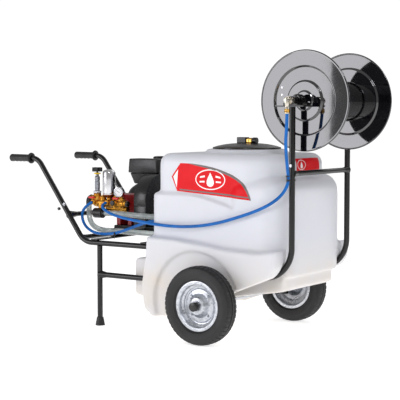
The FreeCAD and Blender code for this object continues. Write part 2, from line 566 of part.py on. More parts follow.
# pressure regulator: hexagon base, spring barrel, ring and stem, with the hand knob on top
barrel = turned([(0, 0), (24, 0), (24, 12), (14, 15), (13, 88), (9, 92), (9, 98), (19, 100), (19, 107),
                 (5, 109), (5, 132), (0, 132)])
REG_BASE = s.pump_z + 50
subpart("regulator_barrel", feature("RegulatorBarrel", barrel,
                                    Placement(at(REG_X, s.pump_y, REG_BASE), Rotation())))
lobes = Part.makeCylinder(19, 22, Vector())
for number in range(5):
    angle = math.radians(72 * number + 18)
    lobes = lobes.fuse(Part.makeCylinder(9, 22, Vector(19 * math.cos(angle), 19 * math.sin(angle), 0)))
lobes = lobes.cut(Part.makeCylinder(5 + s.run_gap, 20, Vector(0, 0, 0)))
subpart("regulator_knob", feature("RegulatorKnob", lobes,
                                  Placement(at(REG_X, s.pump_y, REG_BASE + 113), Rotation())))
elbow = swept([at(REG_X - 43, s.pump_y, s.pump_z + 26), at(-915, s.pump_y, s.pump_z + 26),
               at(-915, s.pump_y, s.pump_z - 12)], [24], 16.5)
subpart("bypass_elbow", feature("BypassElbow", elbow))

gauge = turned([(0, 0), (s.gauge_radius, 0), (s.gauge_radius, 22), (s.gauge_radius + 2, 22),
                (s.gauge_radius + 2, 28), (s.gauge_radius - 3, 28), (s.gauge_radius - 3, 25), (0, 25)])
gauge_turn = Rotation(Vector(0, 0, 1), 12).multiply(Rotation(Z, Y * -1))
gauge_z = s.pump_z + 36 + s.gauge_radius
subpart("pressure_gauge", feature("PressureGauge", gauge,
                                  Placement(at(-708, s.pump_y + 8, gauge_z), gauge_turn)))
for number, ((x, way), label) in enumerate(zip(VALVES, ("rear", "front"))):
    z = s.pump_z + 24
    bar = box("LeverBar%d" % number, "32", "13", "9", at(x - 4 if way > 0 else x - 28, s.pump_y - 36.5, z))
    eye = cylinder("LeverEye%d" % number, "9", "9", at(x, s.pump_y - 30, z))
    bore = cylinder("LeverBore%d" % number, "3 + run_gap", "9", at(x, s.pump_y - 30, z))
    form = fuse("LeverForm%d" % number, [bar, eye])
    subpart("valve_lever_" + label, cut("ValveLever%d" % number, form, [bore]))

# ---------------------------------------------------------------- engine
engine = [box("Crankbox", "150", "170", "150", at(-800, 105, s.base_top)),
          box("EngineBarrel", "124", "108", "58", at(-787, 140, 650)),
          cylinder("EngineNose", "34", "14", at(-650, s.engine_shaft_y, s.engine_shaft_z), X)]
engine += [box("Fin%d" % n, "140", "128", "3", at(-795, 130, 661 + 9 * n)) for n in range(5)]
engine += [box("ExhaustPort", "60", "28", "50", at(-760, 258, 600))]
engine_bore = cylinder("EngineBore", "12.5 + run_gap", "60", at(-670, s.engine_shaft_y, s.engine_shaft_z), X)
subpart("engine_block", cut("EngineBlock", fuse("EngineBody", engine), [engine_bore]))
filter_box = box("FilterForm", "205", "104", "134", at(-820, 62, 712))
filter_round = rounded("FilterRound", filter_box, 16, lambda e: along(X)(e) or along(Y)(e) or along(Z)(e))
subpart("air_filter", filter_round)
fuel = box("FuelForm", "230", "170", "92", at(-830, 174, 744))
fuel_neck = cylinder("FuelNeck", "22", "10", at(-712, 214, 836))
fuel_round = rounded("FuelRound", fuel, 22)
subpart("fuel_tank", fuse("FuelTank", [fuel_round, fuel_neck]))
cap_profile = [(22.3, 0), (34, 0), (38, 5), (38, 16), (30, 20), (0, 21), (0, 10.6), (22.3, 10.6)]
subpart("fuel_cap", feature("FuelCap", turned(cap_profile), Placement(at(-712, 214, 836.4), Rotation())))
recoil_shape = turned([(0, 0), (98, 0), (98, 30), (84, 56), (60, 66), (0, 66)])
recoil_shape.Placement = Placement(at(-800, s.engine_shaft_y, s.engine_shaft_z), Rotation(Z, X * -1))
ROPE = at(-826, s.engine_shaft_y, s.engine_shaft_z + 72)
recoil_shape = recoil_shape.cut(Part.makeCylinder(3.2, 300, ROPE + Y * 150, Y * -1))
subpart("recoil_housing", feature("RecoilHousing", recoil_shape))
grip = Part.makeCylinder(2.4, 160, ROPE - Y * 60, Y)
handle = Part.makeBox(18, 16, 46, ROPE + Vector(-9, 100, -23))
handle = handle.makeFillet(6, handle.Edges)
subpart("starter_grip", feature("StarterGrip", grip.fuse(handle)))
muffler = box("MufflerForm", "150", "60", "120", at(-800, 290, 575))
subpart("muffler", rounded("Muffler", muffler, 16))

# belt drive between the engine and the pump, under a steel cover
PULLEY_X = s.cover_rear + 14
for name, y, z, radius, shaft_r, shaft_from in (
        ("engine_pulley", s.engine_shaft_y, s.engine_shaft_z, s.engine_pulley_radius, 12.5, -668),
        ("pump_pulley", s.pump_shaft_y, s.pump_shaft_z, s.pump_pulley_radius, 12, -678)):
    profile = [(0, 0), (radius, 0), (radius, 3), (radius - 9, 8), (radius - 9, 12), (radius, 17),
               (radius, 20), (radius - 9, 25), (radius - 9, 29), (radius, 34), (radius, 37), (0, 37)]
    pulley = turned(profile)
    pulley.Placement = Placement(at(PULLEY_X, y, z), Rotation(Z, X))
    shaft = Part.makeCylinder(shaft_r, PULLEY_X - shaft_from + 10, at(shaft_from, y, z), X)
    subpart(name, feature(name.title().replace("_", ""), pulley.fuse(shaft)))


def loop(near_r, far_r):
    """The outline of a belt or cover that wraps both pulleys, as a face across X."""
    near = Vector(0, s.pump_shaft_y, s.pump_shaft_z)
    far = Vector(0, s.engine_shaft_y, s.engine_shaft_z)
    line = far - near
    tilt = math.atan2(line.z, line.y)
    lean = math.acos((near_r - far_r) / line.Length)
    spots = []
    for turn in (tilt + lean, tilt - lean):
        out = Vector(0, math.cos(turn), math.sin(turn))
        spots.append((near + out * near_r, far + out * far_r))
    back_near = near - line.normalize() * near_r
    back_far = far + line * far_r
    edges = [Part.Arc(spots[0][0], back_near, spots[1][0]).toShape(),
             Part.LineSegment(spots[1][0], spots[1][1]).toShape(),
             Part.Arc(spots[1][1], back_far, spots[0][1]).toShape(),
             Part.LineSegment(spots[0][1], spots[0][0]).toShape()]
    return Part.Face(Part.Wire(edges))


belt_in = (s.pump_pulley_radius + s.fit_gap, s.engine_pulley_radius + s.fit_gap)
belt = loop(belt_in[0] + 3, belt_in[1] + 3).extrude(X * 37).cut(loop(*belt_in).extrude(X * 37))
subpart("drive_belt", feature("DriveBelt", belt.translated(at(PULLEY_X, 0, 0))))
cover_r = (s.pump_pulley_radius + s.cover_clear + 4, s.engine_pulley_radius + s.cover_clear)


def cover_form(inset, start, length):
    hood = loop(cover_r[0] - inset, cover_r[1] - inset).extrude(X * length)
    skirt_low = s.base_top + inset
    skirt = Part.makeBox(length, s.engine_shaft_y + cover_r[1] + cover_r[0] - s.pump_shaft_y - 2 * inset,
                         s.engine_shaft_z - skirt_low,
                         Vector(0, s.pump_shaft_y - cover_r[0] + inset, skirt_low))
    return hood.fuse(skirt).translated(at(start, 0, 0)).removeSplitter()


cover = cover_form(0, s.cover_rear, s.cover_width).cut(cover_form(3, s.cover_rear - 1, s.cover_width - 2))
below = Part.makeBox(400, 700, 60, at(-800, -300, s.base_top - 60))
subpart("belt_cover", feature("BeltCover", cover.cut(below)))

# ---------------------------------------------------------------- hoses
HOSES = {
    "delivery_hose": (s.hose_dia, [
        (-771, OUTLET_END, OUTLET_Z), (-775, -213, s.pump_z - 8), (-728, -234, s.pump_z - 32),
        (-661, -250, s.pump_z - 50),
        (-560, -268, 557), (-461, -288, 550), (-360, -316, 545), (-261, -328, 541),
        (-168, -330, 542), (-63, -329, 551), (40, -328, 571), (139, -328, 600), (238, -328, 632),
        (318, -325, 668), (365, -314, 704),
        (389, -301, 740), (399, -293, 780), (396, -298, 826), (405, -325, 890), (417, -352, 957),
        (427, -360, 1022), (s.reel_x, SWIVEL_Y - 9, TAIL_LOW)]),
    "return_hose": (s.hose_dia, [
        (-862, OUTLET_END, OUTLET_Z), (-888, -200, s.pump_z - 15), (-914, -205, s.pump_z - 56),
        (-893, -212, 509),
        (-839, -217, 475), (-772, -221, 465), (-690, -225, 471), (-625, -226, 487),
        (-566, -226, 508), (-509, -225, 528), (-455, -225, 545), (s.tank_rear - 32, -225, 550)]),
    "bypass_hose": (s.clear_hose_dia, [
        (-915, s.pump_y, s.pump_z - 12), (-916, -143, s.pump_z - 54), (-902, -150, 520), (-862, -158, 490),
        (-800, -164, 478), (-710, -167, 481), (-610, -166, 479), (-510, -164, 479),
        (s.tank_rear - 32, -165, 477)]),
    "suction_hose": (s.clear_hose_dia, [
        (-790, STRAINER_Y, SUCTION_Z), (-700, -164, s.pump_z - 48), (-600, -167, 567), (-500, -168, 565),
        (s.tank_rear - 32, -165, 562)]),
}
for name, (diameter, spots) in HOSES.items():
    points = [at(*spot) for spot in spots]
    runs = [(b - a).Length for a, b in zip(points, points[1:])]
    radii = []
    for before, corner, after, run_a, run_b in zip(points, points[1:], points[2:], runs, runs[1:]):
        turn = math.pi - (before - corner).getAngle(after - corner)
        radii.append(0.45 * min(run_a, run_b) / math.tan(turn / 2))
    tube = swept(points, radii, diameter / 2)
    length = route(points, radii).Length
    expected = math.pi * diameter ** 2 / 4 * length
    print(name, "length %.0f" % length, "radii", [round(radius) for radius in radii],
          "volume ratio %.4f" % (tube.Volume / expected))
    subpart(name, feature(name.title().replace("_", ""), tube))

# a clip holds the delivery hose to the upright
clip_centre = at(399, -293, 780)
ring = Part.makeCylinder(s.hose_dia / 2 + 2.5, 8, clip_centre - Z * 4)
ring = ring.cut(Part.makeCylinder(s.hose_dia / 2 + 0.6, 8, clip_centre - Z * 4))
band = Part.makeCylinder(TUBE_R + 2, 8, at(s.upright_x, -s.rail_half, 776))
band = band.fuse(ring).cut(Part.makeCylinder(TUBE_R, 8, at(s.upright_x, -s.rail_half, 776)))
band = band.cut(Part.makeCylinder(s.hose_dia / 2 + 0.6, 8, clip_centre - Z * 4))
subpart("hose_clip", feature("HoseClip", band))

# ---------------------------------------------------------------- checks and export
doc.recompute()
for piece in doc.Objects:
    bad = [word for word in piece.State if word in ("Invalid", "Error")]
    assert not bad, (piece.Name, piece.State)
labels = [piece.Label for piece in SUBPARTS]
assert len(set(labels)) == len(labels) <= 60, len(labels)
faults = [piece.Label for piece in SUBPARTS
          if piece.Shape.isNull() or not piece.Shape.isValid() or not piece.Shape.Solids]
assert not faults, faults
os.makedirs("parts", exist_ok=True)
for piece in SUBPARTS:
    piece.Shape.exportStep("parts/" + piece.Label + ".step")
print(len(SUBPARTS), "sub-parts")
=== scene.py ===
import bpy
import bmesh
import math
from mathutils import Matrix, Vector
from mathutils.bvhtree import BVHTree


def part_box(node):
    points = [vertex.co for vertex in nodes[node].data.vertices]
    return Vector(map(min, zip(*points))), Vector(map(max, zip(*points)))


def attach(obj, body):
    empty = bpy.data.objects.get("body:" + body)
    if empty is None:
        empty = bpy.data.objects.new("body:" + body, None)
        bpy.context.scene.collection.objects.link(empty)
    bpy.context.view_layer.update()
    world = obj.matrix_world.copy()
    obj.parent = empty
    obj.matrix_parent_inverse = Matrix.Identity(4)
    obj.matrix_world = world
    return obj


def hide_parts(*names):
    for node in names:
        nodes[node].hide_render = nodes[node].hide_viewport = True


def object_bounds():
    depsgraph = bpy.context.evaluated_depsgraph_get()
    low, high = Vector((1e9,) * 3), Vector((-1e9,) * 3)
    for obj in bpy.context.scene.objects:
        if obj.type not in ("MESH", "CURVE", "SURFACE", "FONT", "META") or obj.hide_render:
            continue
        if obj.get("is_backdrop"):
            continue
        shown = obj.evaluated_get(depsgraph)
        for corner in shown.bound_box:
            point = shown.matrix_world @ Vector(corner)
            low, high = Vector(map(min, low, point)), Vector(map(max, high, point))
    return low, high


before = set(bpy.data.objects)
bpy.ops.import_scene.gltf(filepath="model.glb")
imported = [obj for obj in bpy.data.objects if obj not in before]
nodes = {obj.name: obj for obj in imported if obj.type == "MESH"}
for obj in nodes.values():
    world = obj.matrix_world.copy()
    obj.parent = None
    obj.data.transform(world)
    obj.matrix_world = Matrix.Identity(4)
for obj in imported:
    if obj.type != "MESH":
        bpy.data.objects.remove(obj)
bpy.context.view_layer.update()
scene = bpy.context.scene

# ---------------------------------------------------------------- camera
# A long lens from the right, a little above the lid.  The middle of the axle is the mark that
# every place is measured from.
tyre_low, tyre_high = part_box("tyre_right")
AXLE_X = (tyre_low[0] + tyre_high[0]) / 2


def at(x, y, z):
    """A point in millimetres from the axle's middle line on the floor."""
    return Vector((AXLE_X + x / 1000, y / 1000, z / 1000))


camera = bpy.data.objects.new("Camera", bpy.data.cameras.new("Camera"))
scene.collection.objects.link(camera)
scene.camera = camera
camera.location = at(3257.8, -5068.2, 1072.1)
camera.rotation_euler = (math.radians(90 - 3.924), 0, math.radians(35.065))
camera.data.lens = 109.94
camera.data.sensor_width = 36
camera.data.clip_end = 60


# ---------------------------------------------------------------- hoses
# Smooth extruded hose, 15 mm blue for spray and return and 28 mm clear for suction and
# bypass.  Each runs from one hose tail to another and sags under its own weight.
def linear(hex_colour):
    """An sRGB hex colour as the linear values that a shader takes."""
    parts = [int(hex_colour[i:i + 2], 16) / 255 for i in (0, 2, 4)]
    return tuple(p / 12.92 if p <= 0.04045 else ((p + 0.055) / 1.055) ** 2.4 for p in parts) + (1,)


def add(tree, kind, settings=(), stops=(), **sockets):
    """Adds a node with its settings, its ramp stops, and a value or a link for each named socket."""
    node = tree.nodes.new("ShaderNode" + kind)
    for name, value in dict(settings).items():
        setattr(node, name, value)
    for spot, (position, colour) in enumerate(stops):
        element = node.color_ramp.elements[spot] if spot < 2 else node.color_ramp.elements.new(position)
        element.position, element.color = position, linear(colour)
    for name, value in sockets.items():
        socket = node.inputs[int(name[1:])] if name[0] == "_" else node.inputs[name.replace("_", " ")]
        if isinstance(value, bpy.types.Node):
            value = value.outputs[0]
        if isinstance(value, bpy.types.NodeSocket):
            tree.links.new(value, socket)
        else:
            socket.default_value = value
    return node


def bare(name):
    """A material with an empty tree: the material, its tree, and the piece's own coordinates."""
    material = bpy.data.materials.new(name)
    material.use_nodes = True
    material.node_tree.nodes.clear()
    return material, material.node_tree, add(material.node_tree, "TexCoord").outputs["Object"]


def finish(name, low, high, drift_mm, gloss, grain_mm, grain_deep, **shader):
    """A finish whose colour and gloss drift slowly over the piece, on a fine even grain."""
    material, tree, place = bare(name)
    drift = add(tree, "TexNoise", Vector=place, Scale=1000 / drift_mm, Detail=4.0, Roughness=0.6)
    tone = add(tree, "ValToRGB", stops=((0.36, low), (0.64, high)), Fac=drift)
    shine = add(tree, "MapRange", _0=drift, _1=0.3, _2=0.7, _3=gloss[1], _4=gloss[0])
    grain = add(tree, "TexNoise", Vector=place, Scale=1000 / grain_mm, Detail=3.0)
    relief = add(tree, "Bump", Height=grain, Distance=grain_deep / 1000)
    body = add(tree, "BsdfPrincipled", Base_Color=tone, Roughness=shine, Normal=relief, **shader)
    add(tree, "OutputMaterial", Surface=body)
    return material


# extruded PVC over braid: satin, with the faint ripple of the braid below
blue_hose = finish("blue_extruded_PVC", "025AA4", "0668BC", 60, (0.28, 0.42), 2.5, 0.06, IOR=1.53,
                   Specular_IOR_Level=0.25)
# plasticised clear PVC: greenish grey, cloudy, lit from inside
clear_hose = finish("clear_flexible_PVC", "A9B3B1", "D4DBD8", 45, (0.1, 0.2), 5, 0.05, IOR=1.5,
                    Transmission_Weight=0.5)

HOSE_TOP_Y = (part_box("swivel")[0][1] + 0.0115) * 1000
RUNS = (
    ("delivery_hose", 15, blue_hose, "hose_blue", (
        (-771, -179, 625), (-775, -213, 612), (-728, -234, 588), (-661, -250, 570), (-560, -268, 557),
        (-461, -288, 550), (-360, -316, 545), (-261, -328, 541), (-168, -330, 542), (-63, -329, 551),
        (40, -328, 571), (139, -328, 600), (238, -328, 632), (318, -325, 668), (365, -314, 704),
        (389, -301, 740), (399, -293, 780), (396, -298, 826), (405, -325, 890), (417, -352, 957),
        (427, -360, 1022), (431, HOSE_TOP_Y, 1083))),
    ("return_hose", 15, blue_hose, "hose_blue", (
        (-862, -179, 625), (-888, -200, 605), (-914, -205, 564), (-893, -212, 509), (-839, -217, 475),
        (-772, -221, 465), (-690, -225, 471), (-625, -226, 487), (-566, -226, 508), (-509, -225, 528),
        (-455, -225, 545), (-416, -225, 550))),
    ("bypass_hose", 28, clear_hose, "hose_clear", (
        (-915, -141, 608), (-916, -143, 566), (-902, -150, 520), (-862, -158, 490),
        (-800, -164, 478), (-710, -167, 481), (-610, -166, 479), (-510, -164, 479), (-416, -165, 477))),
    ("suction_hose", 28, clear_hose, "hose_clear", (
        (-790, -162, 568), (-700, -164, 572), (-600, -167, 567), (-500, -168, 565), (-416, -165, 562))),
)
hoses = {}
for name, diameter, material, slot, spots in RUNS:
    curve = bpy.data.curves.new(name + "_line", "CURVE")
    curve.dimensions = "3D"
    spline = curve.splines.new("NURBS")
    spline.points.add(len(spots) - 1)
    for point, spot in zip(spline.points, spots):
        point.co = (*at(*spot), 1)
    spline.order_u = 3
    spline.use_endpoint_u = True
    spline.resolution_u = 8
    curve.bevel_depth = diameter / 2000
    curve.bevel_resolution = 7
    curve.use_fill_caps = True
    curve.materials.append(material)
    hoses[name] = bpy.data.objects.new(name + "_run", curve)
    scene.collection.objects.link(hoses[name])
    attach(hoses[name], "frame")
    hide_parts(name)


# ---------------------------------------------------------------- studio
# A plain pale floor and broad soft lamps in a pale room.
floor_mesh = bpy.data.meshes.new("floor")
form = bmesh.new()
bmesh.ops.create_grid(form, x_segments=1, y_segments=1, size=30)
form.to_mesh(floor_mesh)
form.free()
floor = bpy.data.objects.new("floor", floor_mesh)
scene.collection.objects.link(floor)
floor_mesh.materials.append(finish("lit_white_paper", "F4F4F4", "FBFBFB", 900, (0.85, 0.95), 8, 0.05, IOR=1.4,
                                   Emission_Color=linear("FFFFFF"), Emission_Strength=0.66))
floor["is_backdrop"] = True

world = bpy.data.worlds.new("studio")
scene.world = world
world.use_nodes = True
tree = world.node_tree
tree.nodes.clear()
seen = add(tree, "LightPath").outputs["Is Camera Ray"]
glow = add(tree, "MapRange", _0=seen, _3=0.42, _4=1.05)
room = add(tree, "Background", _0=linear("FFFFFF"), _1=glow)
add(tree, "OutputWorld", Surface=room)
# the panel stands where the glossy reel discs mirror it towards the front right
LAMPS = (("key", (3.0, -4.6, 4.6), (0.2, 0, 0.5), 1.3, 95),
         ("panel", (-3.2, -5.0, 1.7), (0.5, 0, 0.9), 2.6, 82),
         ("back", (0.5, 4.2, 4.2), (0.2, 0, 0.6), 4.0, 45),
         ("right", (5.4, 1.4, 2.6), (0.4, 0, 0.6), 1.6, 28))
for name, spot, aim, size, power in LAMPS:
    lamp = bpy.data.lights.new(name, "AREA")
    lamp.size = size
    lamp.energy = power
    lamp.color = (0.96, 0.95, 1.0)
    holder = bpy.data.objects.new(name, lamp)
    holder.location = spot
    holder.rotation_euler = (Vector(aim) - Vector(spot)).to_track_quat("-Z", "Y").to_euler()
    scene.collection.objects.link(holder)
scene.view_settings.view_transform = "Standard"


# ---------------------------------------------------------------- frame tubes
# Mild steel tube, bent and welded, then powder coated in gloss black: smooth film with a
# slight orange peel that softens the long reflections.
def coat(material, *names):
    """Gives a finish to CAD nodes whose shape is already right."""
    for name in names:
        mesh = nodes[name].data
        for spot in range(len(mesh.materials)):
            mesh.materials[spot] = material


frame_black = finish("gloss_black_powder_coat", "030303", "070606", 90, (0.1, 0.15), 4, 0.03, IOR=1.47)
coat(frame_black, "handle_tube_right", "handle_tube_left", "front_upright_right", "front_upright_left",
     "lower_rails", "legs", "crossbars", "axle_plates", "platform_bars", "reel_shaft")


def piece(name, mesh, body, replaced, slot, *materials):
    """A finished mesh as its own piece that rides on a body."""
    mesh.materials.clear()
    for material in materials:
        mesh.materials.append(material)
    made = bpy.data.objects.new(name, mesh)
    scene.collection.objects.link(made)
    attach(made, body)
    if replaced:
        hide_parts(*replaced)
    return made


def merged(node):
    """A closed bmesh of a CAD node's own form."""
    form = bmesh.new()
    form.from_mesh(nodes[node].data)
    bmesh.ops.remove_doubles(form, verts=form.verts, dist=2e-5)
    return form


def smoothed(form, name, sharp=35):
    """A mesh from a bmesh, smooth but for its sharp edges."""
    mesh = bpy.data.meshes.new(name)
    form.to_mesh(mesh)
    form.free()
    for polygon in mesh.polygons:
        polygon.use_smooth = True
    mesh.set_sharp_from_angle(angle=math.radians(sharp))
    return mesh


def edged(node, radius_mm, sharp=30):
    """Folded or machined work: the CAD form with every sharp edge broken by a small round."""
    form = merged(node)
    bmesh.ops.dissolve_limit(form, angle_limit=math.radians(2), verts=form.verts, edges=form.edges)
    edges = [e for e in form.edges if len(e.link_faces) == 2 and e.calc_face_angle() > math.radians(sharp)]
    bmesh.ops.bevel(form, geom=edges, offset=radius_mm / 1000, offset_type="OFFSET", segments=2, profile=0.5,
                    affect="EDGES", material=-1, clamp_overlap=True)
    return smoothed(form, node + "_edged", 50)


piece("folded_platform", edged("engine_platform", 1.2), "frame", ["engine_platform"],
      "frame_black", frame_black)

# ---------------------------------------------------------------- tank
# One rotomoulded shell of natural polyethylene, about 5 mm thick with soft corners and a fine
# pebbled skin.  It lets a little light through.  Its lower walls are painted creamier as painted shade, more
# so towards the bottom and patchy with the slow drift.
tank_skin, tree, place = bare("natural_rotomoulded_polyethylene")
pebble = add(tree, "TexNoise", Vector=place, Scale=1000 / 2.6, Detail=3.0)
relief = add(tree, "Bump", Height=pebble, Distance=0.00006)
drift = add(tree, "TexNoise", Vector=place, Scale=6.0, Detail=4.0)
height = add(tree, "SeparateXYZ", Vector=place).outputs["Z"]
# painted shade: the colour turns creamier below 0.50 m and is fully cream by 0.28 m, scaled by the drift
# noise
shade_lowness = add(tree, "MapRange", _0=height, _1=0.50, _2=0.28, _3=0.0, _4=1.0)
cream_shade = add(tree, "Math", {"operation": "MULTIPLY"}, _0=shade_lowness, _1=drift)
tone = add(tree, "ValToRGB", stops=((0.0, "E2E3E9"), (0.35, "E6E3E2"), (0.7, "E9DFD2")), Fac=cream_shade)
shine = add(tree, "MapRange", _0=drift, _1=0.3, _2=0.7, _3=0.46, _4=0.34)
shell = add(tree, "BsdfPrincipled", Base_Color=tone, Roughness=shine, Normal=relief, IOR=1.5,
            Subsurface_Weight=0.3, Subsurface_Scale=0.03, Subsurface_Radius=(1.0, 0.92, 0.82))
add(tree, "OutputMaterial", Surface=shell)


def baked(worker):
    """The mesh that a piece's modifiers make of it, with the piece itself cleared away."""
    mesh = bpy.data.meshes.new_from_object(worker.evaluated_get(bpy.context.evaluated_depsgraph_get()))
    bpy.data.objects.remove(worker)
    for polygon in mesh.polygons:
        polygon.use_smooth = True
    return mesh


def worker_of(mesh, voxel_mm, rounds, keep):
    """A mesh under a voxel skin whose edges are rubbed round, and then thinned."""
    worker = bpy.data.objects.new("worker", mesh)
    scene.collection.objects.link(worker)
    skin = worker.modifiers.new("skin", "REMESH")
    skin.mode = "VOXEL"
    skin.voxel_size = voxel_mm / 1000
    rub = worker.modifiers.new("rub", "SMOOTH")
    rub.iterations = rounds
    rub.factor = 0.5
    if keep < 1:
        worker.modifiers.new("thin", "DECIMATE").ratio = keep
    return worker


def cast(node, voxel_mm, rounds=4, keep=1.0):
    """A cast or moulded copy of a CAD node, with soft edges and filled inner corners."""
    form = merged(node)
    mesh = bpy.data.meshes.new(node + "_form")
    form.to_mesh(mesh)
    form.free()
    return baked(worker_of(mesh, voxel_mm, rounds, keep))


LID_MIDDLE = at(-17, 0, 912)
MOUTH = 0.150
TANK_WALL = 0.0045
JUST_OFF = 0.0015
# a face is on the outside if more of its lines than this leave the tank
FEW_LINES = 3
NECK_FOOT_Z = 0.85
form = merged("tank")
bmesh.ops.create_circle(form, cap_ends=True, segments=96, radius=MOUTH, matrix=Matrix.Translation(LID_MIDDLE))
closed = BVHTree.FromBMesh(form)
LOOKS = [Vector((math.sin(2.4 * n) * math.sqrt(1 - h * h), math.cos(2.4 * n) * math.sqrt(1 - h * h), h))
         for n, h in ((n, (n + 0.5) / 40 - 1) for n in range(80))]


def looks_out(face):
    """True if several lines from just off the face leave the tank."""
    spot = face.calc_center_median() + face.normal * JUST_OFF
    return sum(closed.ray_cast(spot, way)[0] is None for way in LOOKS) > FEW_LINES


inner = [f for f in form.faces if not looks_out(f) or len(f.verts) == 96]
bmesh.ops.delete(form, geom=inner, context="FACES")
bmesh.ops.holes_fill(form, edges=[e for e in form.edges if e.is_boundary])
mesh = bpy.data.meshes.new("tank_form")
form.to_mesh(mesh)
form.free()
worker = worker_of(mesh, 7, 14, 0.4)
bore = bmesh.new()
bmesh.ops.create_cone(bore, cap_ends=True, segments=96, radius1=MOUTH, radius2=MOUTH, depth=0.08,
                      matrix=Matrix.Translation(LID_MIDDLE))
bore_mesh = bpy.data.meshes.new("bore")
bore.to_mesh(bore_mesh)
bore.free()
cutter = bpy.data.objects.new("bore", bore_mesh)
scene.collection.objects.link(cutter)
drill = worker.modifiers.new("drill", "BOOLEAN")
drill.object = cutter
skin_mesh = baked(worker)
bpy.data.objects.remove(cutter)
form = bmesh.new()
form.from_mesh(skin_mesh)
inside = [f for f in form.faces if (f.calc_center_median().xy - LID_MIDDLE.xy).length < MOUTH - 0.0002
          and f.calc_center_median().z > NECK_FOOT_Z]
walls = [f for f in form.faces if abs((f.calc_center_median().xy - LID_MIDDLE.xy).length - MOUTH) < 0.002
         and f.calc_center_median().z > NECK_FOOT_Z and abs(f.normal.z) < 0.3]
bmesh.ops.delete(form, geom=list(set(inside + walls)), context="FACES")
tank_surface = BVHTree.FromBMesh(form)
shell_mesh = bpy.data.meshes.new("tank_shell")
form.to_mesh(shell_mesh)
form.free()
worker = bpy.data.objects.new("worker", shell_mesh)
scene.collection.objects.link(worker)
thick = worker.modifiers.new("wall", "SOLIDIFY")
thick.thickness = TANK_WALL
thick.offset = -1
shell_mesh = baked(worker)
shell_mesh.set_sharp_from_angle(angle=math.radians(60))
piece("tank_shell", shell_mesh, "frame", ["tank"], "tank_white", tank_skin)
print("tank triangles", sum(len(p.vertices) - 2 for p in shell_mesh.polygons))

# ---------------------------------------------------------------- decals
# Printed vinyl film on both sides and across the front: a swept red panel with a grey edge, a
# white arrow tip, and an oval that holds a plain spray drop.
red_film = finish("red_vinyl_film", "D8121B", "E0161F", 80, (0.28, 0.36), 4, 0.01, IOR=1.45,
                  Specular_IOR_Level=0.14)
grey_film = finish("grey_vinyl_film", "66625F", "706B68", 60, (0.3, 0.38), 4, 0.01, IOR=1.45)
white_film = finish("white_vinyl_film", "F4F4F4", "FFFFFF", 60, (0.3, 0.38), 4, 0.01, IOR=1.45)


CUT_STEP = 0.010
FILM_THICK = 0.00035
BESIDE_TANK = 0.7


def outline(points):
    """A flat film from its (across, up) corners in millimetres."""
    form = bmesh.new()
    form.faces.new([form.verts.new((x / 1000, 0, z / 1000)) for x, z in points])
    return form


def oval(x, z, wide, high, band=None):
    """A flat oval film, or an oval band."""
    form = bmesh.new()
    bmesh.ops.create_circle(form, cap_ends=band is None, segments=64, radius=1)
    bmesh.ops.scale(form, vec=(wide / 2000, high / 2000, 1), verts=form.verts)
    if band:
        inner = bmesh.ops.create_circle(form, cap_ends=False, segments=64, radius=1)["verts"]
        bmesh.ops.scale(form, vec=(wide / 2000 - band / 1000, high / 2000 - band / 1000, 1), verts=inner)
        bmesh.ops.bridge_loops(form, edges=form.edges)
    bmesh.ops.rotate(form, matrix=Matrix.Rotation(math.pi / 2, 3, "X"), verts=form.verts)
    bmesh.ops.translate(form, vec=(x / 1000, 0, z / 1000), verts=form.verts)
    return form


def lay_film(name, form, facing, lift_mm, material):
    """Lays a flat film on the tank: facing is -1 for the right side, 1 for the left, 0 for the front."""
    reach = [v.co.x for v in form.verts], [v.co.z for v in form.verts]
    for axis, values in zip((Vector((1, 0, 0)), Vector((0, 0, 1))), reach):
        cut_at = min(values) + CUT_STEP
        while cut_at < max(values):
            bmesh.ops.bisect_plane(form, geom=form.verts[:] + form.edges[:] + form.faces[:], dist=1e-6,
                                   plane_co=axis * cut_at, plane_no=axis)
            cut_at += CUT_STEP
    for vert in form.verts:
        if facing:
            start = Vector((AXLE_X + vert.co.x, facing * BESIDE_TANK, vert.co.z))
            way = Vector((0, -facing, 0))
        else:
            start = Vector((AXLE_X + BESIDE_TANK, vert.co.x, vert.co.z))
            way = Vector((-1, 0, 0))
        vert.co = tank_surface.ray_cast(start, way)[0] - way * lift_mm / 1000
    bmesh.ops.recalc_face_normals(form, faces=form.faces)
    outward = Vector((0, facing, 0)) if facing else Vector((1, 0, 0))
    if sum(f.normal.dot(outward) for f in form.faces) < 0:
        bmesh.ops.reverse_faces(form, faces=form.faces)
    bmesh.ops.solidify(form, geom=form.faces, thickness=FILM_THICK)
    piece(name, smoothed(form, name), "frame", [], "red_paint", material)


